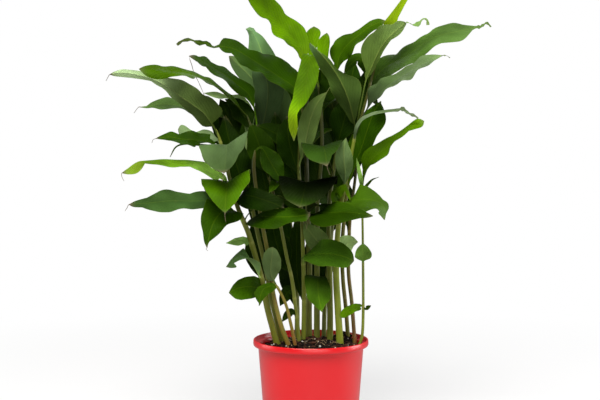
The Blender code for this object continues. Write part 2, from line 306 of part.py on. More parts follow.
# Plain leaves that fill the clump, one body with each cane: for each leaf its
# height up the cane (share of its length), heading in degrees (0 is away from
# the front, 90 to the right), length and width in mm, and rise in degrees.
FILL = [
    ("cane_01", [(0.62, 20, 120, 40, 50), (0.90, -10, 110, 38, 40)]),
    ("cane_02", [(0.55, -10, 150, 46, 45), (0.66, 50, 140, 44, 55), (0.76, -20, 150, 46, 45),
                                     (0.86, 15, 150, 44, 40), (0.94, 70, 120, 40, 50)]),
    ("cane_03", [(0.55, 20, 110, 42, 50), (0.78, 40, 110, 42, 50)]),
    ("cane_05", [(0.60, 15, 150, 46, 50), (0.72, -30, 140, 44, 45), (0.84, 40, 150, 46, 50),
                                     (0.93, 0, 140, 42, 45)]),
    ("cane_06", [(0.62, -25, 130, 46, 50), (0.80, 20, 130, 44, 50)]),
    ("cane_07", [(0.50, 0, 150, 50, 50), (0.60, -40, 150, 48, 50), (0.70, 30, 150, 48, 50),
                                     (0.80, -25, 150, 48, 45), (0.88, 25, 140, 46, 45)]),
    ("cane_08", [(0.52, 20, 150, 48, 50), (0.64, -20, 150, 46, 50), (0.76, 35, 150, 46, 45),
                                      (0.86, 0, 140, 44, 45)]),
    ("cane_09", [(0.55, 40, 140, 46, 50), (0.66, 0, 150, 46, 50), (0.78, 50, 130, 44, 50),
                                      (0.88, 15, 140, 42, 45)]),
    ("cane_10", [(0.58, -10, 110, 42, 55), (0.80, 30, 110, 40, 50)]),
    ("cane_11", [(0.48, 10, 140, 44, 50), (0.60, -15, 140, 44, 50), (0.70, 25, 130, 42, 45),
                                      (0.80, -10, 130, 42, 40), (0.88, 30, 120, 38, 40)]),
    ("cane_12", [(0.55, 20, 140, 44, 50), (0.80, 5, 140, 44, 45), (0.92, 40, 120, 40, 40)]),
    ("cane_14", [(0.55, -50, 140, 48, 45), (0.75, 20, 150, 48, 40), (0.88, -60, 150, 46, 35)]),
    ("cane_15", [(0.55, 45, 130, 46, 45), (0.75, -20, 150, 48, 40), (0.88, 40, 140, 44, 35)]),
]

# Where the clump is solid as seen from the front: v, then u from and to.
SOLID = [(56, 296, 345), (66, 282, 352), (76, 266, 366), (90, 250, 376), (104, 240, 380), (128, 218, 380),
         (142, 206, 372), (156, 212, 358), (168, 226, 348), (184, 230, 350), (214, 244, 350), (232, 254, 344),
         (262, 276, 342)]


# ------------------------------------------------------------------- helpers
def along(points, steps, sharp=6):
    """A smooth line through the places, resampled evenly."""
    pts = [points[0] * 2 - points[1]] + points + [points[-1] * 2 - points[-2]]
    line = []
    for i in range(1, len(pts) - 2):
        a, b, c, d = pts[i - 1:i + 3]
        for k in range(sharp):
            t = k / sharp
            line.append(0.5 * ((2 * b) + (c - a) * t + (2 * a - 5 * b + 4 * c - d) * t * t
                               + (3 * b - a - 3 * c + d) * t ** 3))
    line.append(points[-1].copy())
    run = [0.0]
    for p, q in zip(line, line[1:]):
        run.append(run[-1] + (q - p).length)
    out, j = [], 0
    for s in range(steps):
        want = run[-1] * s / (steps - 1)
        while j < len(run) - 2 and run[j + 1] < want:
            j += 1
        part = (want - run[j]) / max(run[j + 1] - run[j], 1e-9)
        out.append(line[j].lerp(line[j + 1], min(max(part, 0.0), 1.0)))
    return out, run[-1]


def soil_height(x, y):
    r = min(math.hypot(x, y) / 0.074, 1.0)
    return SOIL_EDGE + (SOIL_CROWN - SOIL_EDGE) * (1 - r * r)


def cane_line(places):
    pts = [spot(*p) for p in places]
    lean = (pts[1] - pts[0]).normalized()
    pts[0] = pts[0] + lean * ((soil_height(pts[0].x, pts[0].y) - pts[0].z) / lean.z)
    foot = pts[0] - lean * CANE_DEPTH
    return [foot] + pts


def tube(name, line, radii, sides=CANE_SIDES):
    """A closed tube along a line."""
    bm = bmesh.new()
    rings, side = [], Vector((1, 0, 0))
    for i, (p, r) in enumerate(zip(line, radii)):
        t = (line[min(i + 1, len(line) - 1)] - line[max(i - 1, 0)]).normalized()
        side = (side - t * side.dot(t)).normalized()
        other = t.cross(side)
        rings.append([bm.verts.new(p + (side * math.cos(a) + other * math.sin(a)) * r)
                      for a in (2 * math.pi * k / sides for k in range(sides))])
    for a, b in zip(rings, rings[1:]):
        for k in range(sides):
            bm.faces.new((a[k], a[(k + 1) % sides], b[(k + 1) % sides], b[k]))
    bm.faces.new(reversed(rings[0]))
    bm.faces.new(rings[-1])
    return finish_mesh(name, bm)


def finish_mesh(name, bm):
    mesh = bpy.data.meshes.new(name)
    bm.to_mesh(mesh)
    bm.free()
    return mesh


def width_at(t, shape):
    """Share of the full half width at t along the blade."""
    stalk, widest = shape
    if t <= stalk:
        return 0.0
    if t < widest:
        s = math.sin(0.5 * math.pi * (t - stalk) / (widest - stalk))
        return max(s ** 1.15, 0.0)
    s = math.cos(0.5 * math.pi * (t - widest) / (1 - widest))
    return max(s, 0.0) ** 0.85


def blade_frames(leaf, push, steps):
    """Midrib points, side and up directions and half widths of a leaf."""
    node, cane, width, face0, face1, fold, shape, places = leaf
    root = spot(*places[0])
    joined = node == cane
    n = len(places) - 1
    pts = []
    for k, (u, v, y) in enumerate(places):
        ramp = min(k / n / 0.35, 1.0)
        pts.append(spot(u, v, y + push * ramp))
    line, radii = CANE_LINES[cane]
    best = min(range(len(line) - 1), key=lambda i: (closest(line[i], line[i + 1], root)[0] - root).length)
    hub, share = closest(line[best], line[best + 1], root)
    r = radii[best] + (radii[best + 1] - radii[best]) * share
    axis = (line[best + 1] - line[best]).normalized()
    way = pts[1] - hub
    if joined:
        out = (way - axis * way.dot(axis)).normalized()
        pts[0] = hub + out * (r - 0.0012)
    elif best == len(line) - 2 and share > 0.98:
        out = way.normalized()
        if out.dot(axis) < 0.2:
            out = (way - axis * (way.dot(axis) - way.length * 0.2)).normalized()
        pts[0] = hub + out * (r * 0.9 + 0.0016)
    else:
        out = (way - axis * way.dot(axis)).normalized()
        pts[0] = hub + out * (r + 0.0016)
    mid, length = along(pts, steps)
    frames = []
    for i, p in enumerate(mid):
        t = i / (steps - 1)
        run = (mid[min(i + 1, steps - 1)] - mid[max(i - 1, 0)]).normalized()
        up = Vector(face0).normalized().lerp(Vector(face1).normalized(), t)
        up = (up - run * up.dot(run)).normalized()
        side = run.cross(up)
        half = max(width * 0.0005 * width_at(t, shape), 0.0013 - 0.0007 * t)
        frames.append([p, side, up, half, t])
    # narrower where the blade turns sharply in its own plane
    for a, b in zip(frames, frames[1:]):
        step = b[0] - a[0]
        run_a, run_b = a[2].cross(a[1]), b[2].cross(b[1])
        turn = max(abs(run_b.dot(a[1])), abs(run_a.dot(b[1])), 0.001)
        limit = max(0.62 * step.length / turn, 0.0013)
        a[3], b[3] = min(a[3], limit), min(b[3], limit)
    return frames, math.radians(fold), length


def seen_at(p):
    """The place of a point, the other way round from spot."""
    away = p.y - EYE.y
    return (300 + (p.x - EYE.x) * FAR / away, 200 - (p.z - EYE.z) * FAR / away, p.y * 1000)


def in_clump(u, v, slack=0.0):
    if not SOLID[0][0] <= v <= SOLID[-1][0]:
        return False
    for (v0, a0, b0), (v1, a1, b1) in zip(SOLID, SOLID[1:]):
        if v <= v1:
            s = (v - v0) / (v1 - v0)
            return a0 + (a1 - a0) * s - slack <= u <= b0 + (b1 - b0) * s + slack
    return False


def fill_leaves():
    """For each plain leaf, entries like those in LEAVES to choose from."""
    out = []
    for cane, sites in FILL:
        line, radii = CANE_LINES[cane]
        for share, heading, length, width, rise in sites:
            at = share * (len(line) - 1)
            i = min(int(at), len(line) - 2)
            root = line[i].lerp(line[i + 1], at - i)
            choice = []
            for size in (1.0, 0.8):
                for turn in (0, 14, -14, 28, -28, 42, -42, 60, -60):
                    way = math.radians(heading + turn)
                    ahead = Vector((math.sin(way), math.cos(way), 0))
                    p, places = root.copy(), [seen_at(root)]
                    for k in range(5):
                        slope = math.radians(rise - (rise + 32) * (k / 4) ** 1.2)
                        step = ahead * math.cos(slope) + Vector((0, 0, math.sin(slope)))
                        p = p + step * length * size * 0.0002
                        places.append(seen_at(p))
                    if all(in_clump(u, v) for u, v, y in places[1:]):
                        choice.append((cane, cane, width * size, (-ahead.x * 0.7, -ahead.y * 0.7, 1),
                                       (ahead.x * 0.6, ahead.y * 0.6, 1), 12, (0.08, 0.5), places))
            if choice:
                out.append(choice)
    return out


def closest(a, b, p):
    run = b - a
    share = min(max((p - a).dot(run) / run.length_squared, 0.0), 1.0)
    return a + run * share, share


def blade(bm, leaf, push, grow=0.0, skip=0):
    """Adds a closed V-section blade to bm. grow thickens it all round, and
    skip leaves out the first rows."""
    steps = FILL_STATIONS if leaf not in LEAVES else STATIONS if leaf[0] != leaf[1] else STATIONS - 1
    frames, fold, length = blade_frames(leaf, push, steps)
    frames = frames[skip:]
    rows = []
    for p, side, up, half, t in frames:
        bend = fold * min(1.0, t * 4)
        lift = (half + grow) * math.sin(bend)
        out = (half + grow) * math.cos(bend)
        thick = BLADE * (1.0 - 0.35 * t) * 0.5 + grow
        rows.append([bm.verts.new(q) for q in (
            p - side * out + up * (lift + thick), p + up * thick, p + side * out + up * (lift + thick),
            p + side * out + up * (lift - thick), p - up * thick, p - side * out + up * (lift - thick))])
    # upper and under side are split along the same diagonals
    for a, b in zip(rows, rows[1:]):
        for face in ((a[0], a[1], b[1]), (a[0], b[1], b[0]), (a[4], a[5], b[4]), (a[5], b[5], b[4]),
                     (a[1], a[2], b[1]), (a[2], b[2], b[1]), (a[3], a[4], b[4]), (a[3], b[4], b[3]),
                     (a[2], a[3], b[3], b[2]), (a[5], a[0], b[0], b[5])):
            bm.faces.new(face)
    first, last = rows[0], rows[-1]
    bm.faces.new((first[5], first[4], first[1], first[0]))
    bm.faces.new((first[4], first[3], first[2], first[1]))
    bm.faces.new((last[0], last[1], last[4], last[5]))
    bm.faces.new((last[1], last[2], last[3], last[4]))


def tree_of(leaf, push, grow, skip=0):
    bm = bmesh.new()
    blade(bm, leaf, push, grow, skip)
    tree = BVHTree.FromBMesh(bm)
    bm.free()
    return tree


def clear_place(leaf, tries, placed, cane_trees):
    """The first push that leaves the blade clear of the others, with its tree."""
    for push in tries:
        loose = tree_of(leaf, push, 0.0006)
        if any(loose.overlap(t) for t in placed):
            continue
        if any(loose.overlap(t) for n, t in cane_trees.items() if n != leaf[1]):
            continue
        joined = leaf[0] == leaf[1]
        if tree_of(leaf, push, 0.0003 if joined else 0.0, 1 if joined else 0).overlap(cane_trees[leaf[1]]):
            continue
        return push, loose
    return None, None


def settle(cane_trees):
    """Every leaf with how far it moves along the line of sight to clear the
    canes and the leaves before it."""
    placed, out = [], []
    tries = [0]
    for step in range(1, 23):
        tries += [-6 * step, 6 * step]
    for leaf in LEAVES:
        push, tree = clear_place(leaf, tries, placed, cane_trees)
        if tree is None:
            print("no clear place for", leaf[0], leaf[7][0])
        else:
            placed.append(tree)
            out.append((leaf, push))
    for choice in fill_leaves():
        for leaf in choice:
            push, tree = clear_place(leaf, tries[:7], placed, cane_trees)
            if tree is not None:
                placed.append(tree)
                out.append((leaf, push))
                break
    return out


def material(name, colour, rough):
    mat = bpy.data.materials.new(name)
    mat.use_nodes = True
    shader = mat.node_tree.nodes["Principled BSDF"]
    shader.inputs["Base Color"].default_value = (*colour, 1)
    shader.inputs["Roughness"].default_value = rough
    shader.inputs["Metallic"].default_value = 0.0
    mat.diffuse_color = (*colour, 1)
    return mat


def add(name, mesh, mat, smooth=True):
    mesh.materials.append(mat)
    for f in mesh.polygons:
        f.use_smooth = smooth
    ob = bpy.data.objects.new(name, mesh)
    bpy.context.scene.collection.objects.link(ob)
    return ob


def disc_of(name, profile, steps, mat):
    """Turns an open profile that starts and ends on the Z axis."""
    mesh = bpy.data.meshes.new(name)
    mesh.from_pydata([(r, 0, z) for r, z in profile], [(i, i + 1) for i in range(len(profile) - 1)], [])
    ob = bpy.data.objects.new(name, mesh)
    bpy.context.scene.collection.objects.link(ob)
    mesh.materials.append(mat)
    screw = ob.modifiers.new("turn", "SCREW")
    screw.axis = "Z"
    screw.angle = math.tau
    screw.steps = screw.render_steps = steps
    screw.screw_offset = 0.0
    screw.use_merge_vertices = True
    screw.merge_threshold = 0.00001
    screw.use_smooth_shade = True
    return ob


def cutter(name, mesh):
    ob = bpy.data.objects.new(name, mesh)
    bpy.context.scene.collection.objects.link(ob)
    ob.hide_render = True
    ob.display_type = "WIRE"
    return ob


def cut(ob, tools):
    """Cuts the joined tools out of ob."""
    mod = ob.modifiers.new("cut", "BOOLEAN")
    mod.operation = "DIFFERENCE"
    mod.solver = "EXACT"
    mod.object = tools


CANE_LINES = {}


def trace_canes():
    for name, r0, r1, places in CANES:
        pts = cane_line(places)
        rings = max(7, int(3 + (pts[-1] - pts[0]).length / 0.042))
        line, _ = along(pts, rings)
        radii = [0.001 * (r0 + (r1 - r0) * (i / (rings - 1)) ** 1.6) for i in range(rings)]
        CANE_LINES[name] = (line, radii)


# --------------------------------------------------------------------- build
def outer_radius(z):
    return BASE_RADIUS + (WALL_TOP_RADIUS - BASE_RADIUS) * z / (POT_HEIGHT - LIP_HEIGHT)


def pot_profile():
    """From the middle of the base, up the outside, over the rim and down to
    the middle of the floor."""
    lip = POT_HEIGHT - LIP_HEIGHT
    top = POT_HEIGHT
    inner = RIM_RADIUS - 0.0032
    return [
        (0.0, 0.0),
        (0.020, 0.0),
        (BASE_RADIUS - 0.0012, 0.0),
        (BASE_RADIUS, 0.0012),
        (outer_radius(0.07), 0.07),
        (outer_radius(lip), lip),
        (RIM_RADIUS - 0.0018, lip - 0.0002),
        (RIM_RADIUS - 0.0002, lip + 0.0014),
        (RIM_RADIUS, lip + 0.0040),
        (RIM_RADIUS - 0.0005, top - 0.0010),
        (RIM_RADIUS - 0.0022, top),
        (inner, top - 0.0010),
        (inner - 0.0004, lip + 0.0026),
        (outer_radius(lip) - WALL, lip - 0.0010),
        (outer_radius(0.07) - WALL, 0.07),
        (outer_radius(0.006) - WALL, FLOOR + 0.0035),
        (BASE_RADIUS - 0.0050, FLOOR),
        (0.020, FLOOR),
        (0.0, FLOOR),
    ]


def main():
    for ob in list(bpy.data.objects):
        bpy.data.objects.remove(ob, do_unlink=True)

    red = material("pot_red", (0.76, 0.02, 0.025), 0.3)
    earth = material("soil_brown", (0.022, 0.014, 0.009), 0.95)
    stalk = material("cane_green", (0.16, 0.2, 0.03), 0.45)
    dark = material("leaf_dark", (0.03, 0.1, 0.008), 0.4)
    mid = material("leaf_green", (0.06, 0.19, 0.012), 0.4)
    young = material("leaf_young", (0.22, 0.42, 0.01), 0.4)

    # pot with a flat base and a ring of drain holes
    body = disc_of("pot", pot_profile(), 44, red)
    bm = bmesh.new()
    for k in range(DRAIN_COUNT):
        a = math.tau * (k + 0.5) / DRAIN_COUNT
        made = bmesh.ops.create_cone(bm, cap_ends=True, segments=16, radius1=DRAIN_RADIUS,
                                     radius2=DRAIN_RADIUS, depth=0.02)
        bmesh.ops.translate(bm, verts=made["verts"],
                            vec=(DRAIN_RING * math.cos(a), DRAIN_RING * math.sin(a), 0.005))
    cut(body, cutter("drain_cutter", finish_mesh("drain_cutter", bm)))

    # soil: fills the pot to just below the rim, with a socket for each cane
    trace_canes()
    base = FLOOR + GAP
    rim = SOIL_EDGE
    fill = [(0.0, base), (BASE_RADIUS - 0.0068, base), (outer_radius(0.009) - WALL - 0.0010, 0.009),
            (outer_radius(0.07) - WALL - 0.0005, 0.07),
            (outer_radius(rim) - WALL - 0.0005, rim - 0.002), (outer_radius(rim) - WALL - 0.0022, rim)]
    for r in (0.056, 0.036, 0.018):
        fill.append((r, soil_height(r, 0)))
    fill.append((0.0, SOIL_CROWN))
    soil = disc_of("soil", fill, 36, earth)
    bm = bmesh.new()
    for name, r0, r1, places in CANES:
        pts = cane_line(places)
        lean = (pts[1] - pts[0]).normalized()
        line = [pts[0] - lean * 0.0006, pts[1] + lean * 0.012]
        mesh = tube("socket", line, [r0 * 0.001 + 0.0006] * 2, 12)
        bm.from_mesh(mesh)
        bpy.data.meshes.remove(mesh)
    cut(soil, cutter("socket_cutter", finish_mesh("socket_cutter", bm)))

    # canes
    cane_trees = {}
    for name, r0, r1, places in CANES:
        line, radii = CANE_LINES[name]
        bm = bmesh.new()
        mesh = tube(name, line, radii)
        bm.from_mesh(mesh)
        cane_trees[name] = BVHTree.FromBMesh(bm)
        bm.free()
        add(name, mesh, stalk)
    names = list(cane_trees)
    for i, a in enumerate(names):
        for b in names[i + 1:]:
            if cane_trees[a].overlap(cane_trees[b]):
                print("canes meet:", a, b)

    # leaves: their own nodes, or grown together with their cane
    joined = {}
    settled = settle(cane_trees)
    for leaf, push in settled:
        if leaf[0] == leaf[1]:
            joined.setdefault(leaf[1], []).append((leaf, push))
            continue
        bm = bmesh.new()
        blade(bm, leaf, push)
        kind = young if leaf[0] in YOUNG else dark if leaf[0] in DARK else mid
        add(leaf[0], finish_mesh(leaf[0], bm), kind, smooth=False)
    for name, members in joined.items():
        bm = bmesh.new()
        for leaf, push in members:
            blade(bm, leaf, push)
        shoots = cutter(name + "_leaves", finish_mesh(name + "_leaves", bm))
        shoots.data.materials.append(mid)
        mod = bpy.data.objects[name].modifiers.new("leaves", "BOOLEAN")
        mod.operation = "UNION"
        mod.solver = "EXACT"
        mod.object = shoots
    nodes = sum(not ob.hide_render for ob in bpy.data.objects)
    print("nodes:", nodes, "leaves:", len(settled))


YOUNG = {"leaf_02", "leaf_10", "leaf_14", "leaf_16", "leaf_20", "leaf_24", "leaf_38"}
DARK = {"leaf_03", "leaf_04", "leaf_06", "leaf_09", "leaf_11", "leaf_17", "leaf_23", "leaf_30"}

if __name__ == "__main__":
    main()
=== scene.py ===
# Looks of a potted cardamom plant: fine leaves, canes, potting soil and pot
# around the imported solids. Metres, +Z up, the pot's base centre at the origin.
import math
import random

import bpy
import bmesh
import numpy as np
from mathutils import Euler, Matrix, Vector, noise
from mathutils.bvhtree import BVHTree


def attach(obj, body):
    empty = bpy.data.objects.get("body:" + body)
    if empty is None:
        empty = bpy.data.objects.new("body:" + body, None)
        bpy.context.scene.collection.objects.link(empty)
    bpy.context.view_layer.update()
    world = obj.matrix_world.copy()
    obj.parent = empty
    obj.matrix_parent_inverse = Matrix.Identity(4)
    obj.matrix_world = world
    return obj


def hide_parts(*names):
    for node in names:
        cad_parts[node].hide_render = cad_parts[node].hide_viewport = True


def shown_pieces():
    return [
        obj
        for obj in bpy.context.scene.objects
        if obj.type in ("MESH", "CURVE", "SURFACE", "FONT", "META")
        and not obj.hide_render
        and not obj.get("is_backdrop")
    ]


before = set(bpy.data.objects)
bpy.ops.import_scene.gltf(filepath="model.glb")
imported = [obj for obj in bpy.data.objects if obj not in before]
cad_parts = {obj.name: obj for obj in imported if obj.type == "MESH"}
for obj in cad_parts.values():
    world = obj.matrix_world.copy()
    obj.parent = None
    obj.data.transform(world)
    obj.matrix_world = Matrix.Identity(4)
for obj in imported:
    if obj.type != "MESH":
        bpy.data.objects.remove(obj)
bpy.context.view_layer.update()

# ---------------------------------------------------------------- dimensions
POT_HEIGHT = 0.150
RIM_RADIUS = 0.085
LIP_HEIGHT = 0.009
WALL_TOP_RADIUS = 0.0778
BASE_RADIUS = 0.0665
WALL = 0.0018
FLOOR = 0.0024
DRAIN_RADIUS = 0.0045
DRAIN_RING = 0.040
DRAIN_COUNT = 6
SOIL_EDGE = 0.1375
SOIL_CROWN = 0.1465
GAP = 0.0003
CANE_DEPTH = 0.030
CANE_SIDES = 8
BLADE = 0.0011
STATIONS = 10
FILL_STATIONS = 6

# Places on the plant are given as seen from the front, from EYE: u to the
# right and v down, both in steps of 1/FAR of the distance away, and y in mm
# behind the pot's axis.
EYE = Vector((-0.016, -1.2, 0.3546))
FAR = 812.0


def spot(u, v, y):
    away = y * 0.001 - EYE.y
    return Vector((EYE.x + (u - 300) * away / FAR, y * 0.001, EYE.z + (200 - v) * away / FAR))


# Canes: name, foot and top radius in mm, then places from the soil upward.
CANES = [
    ("cane_01", 4.9, 2.0, [(277, 343, 0), (268, 310, -8), (262, 280, -14), (255, 255, -20), (248, 232, -27),
                           (238, 208, -34), (230, 180, -39), (223, 150, -43), (216, 129, -46)]),
    ("cane_02", 3.8, 1.7, [(283, 341, 20), (278, 325, 19), (271, 298, 18), (266, 270, 16), (259, 240, 14),
                           (253, 212, 14), (246, 180, 16), (240, 150, 20), (232, 128, 24), (225, 115, 26)]),
    ("cane_03", 3.7, 1.8, [(288, 344, -16), (281, 325, -17), (275, 302, -14), (271, 280, -10), (268, 255, -10),
                           (263, 228, -14), (258, 200, -20), (254, 170, -26), (255, 150, -30)]),
    ("cane_04", 2.7, 1.4, [(295, 344, -20), (291, 325, -22), (286, 305, -24), (279, 290, -25), (273, 281, -26)]),
    ("cane_05", 3.0, 1.6, [(299, 340, 2), (296, 310, 2), (292, 280, 2), (287, 258, 2), (281, 228, 2),
                           (275, 200, 4), (267, 172, 8), (261, 152, 10), (254, 134, 14), (247, 115, 18)]),
    ("cane_06", 3.6, 1.8, [(303.5, 341, 20), (304, 318, 18), (304, 290, 16), (303, 250, 12), (302, 222, 8),
                           (300, 190, 0), (299, 165, -4), (300, 140, -8), (303, 118, -10), (301, 104, -11)]),
    ("cane_07", 4.6, 2.0, [(309, 338, 40), (309, 310, 38), (309.5, 280, 36), (309, 250, 34), (308, 215, 32),
                           (307, 180, 30), (306, 140, 28), (307, 100, 26), (307, 78, 23), (306, 63, 19)]),
    ("cane_08", 4.6, 1.7, [(317, 339, 30), (317, 310, 29), (317, 270, 27), (317, 235, 25), (318, 200, 23),
                           (321, 165, 21), (322, 140, 17), (321, 110, 13), (319, 90, 8), (316, 77, 3)]),
    ("cane_09", 4.7, 1.7, [(330, 340, 24), (330, 310, 22), (329.5, 270, 18), (329, 240, 15), (329, 210, 14),
                           (332, 180, 14), (337, 150, 14), (339, 125, 12), (338, 100, 10), (336, 78, 9)]),
    ("cane_10", 5.2, 1.9, [(340, 343, -6), (338, 310, -9), (336, 270, -12), (338, 230, -16), (341, 205, -20),
                           (345, 184, -24), (350, 162, -28), (354, 140, -31), (356, 127, -33)]),
    ("cane_11", 3.2, 1.6, [(348, 338, 32), (346, 310, 32), (343, 280, 34), (342, 250, 28), (344, 220, 26),
                           (347, 190, 27), (352, 160, 25), (358, 130, 22), (366, 100, 16), (374, 70, 10),
                           (382, 46, 4), (386.5, 33, 0)]),
    ("cane_12", 3.0, 1.8, [(354.5, 339, 14), (352, 305, 20), (348.5, 272, 27), (349, 240, 36), (351, 210, 42),
                           (355, 180, 42), (358, 150, 40), (361, 125, 36), (362, 104, 30)]),
    ("cane_13", 2.2, 1.4, [(359.2, 345.5, 0), (362.2, 335, 0), (363.2, 310, 0), (363, 260, 2), (362.5, 220, 2),
                           (362, 200, 2), (362, 189, 1)]),
    ("cane_14", 3.8, 1.8, [(297, 337, 46), (297, 300, 56), (294, 260, 70), (290, 220, 86), (286, 180, 102),
                           (282, 145, 116), (280, 118, 126)]),
    ("cane_15", 3.6, 1.8, [(324, 336, 56), (325, 300, 64), (329, 260, 76), (333, 220, 90), (338, 180, 104),
                           (340, 145, 116), (341, 120, 124)]),
]

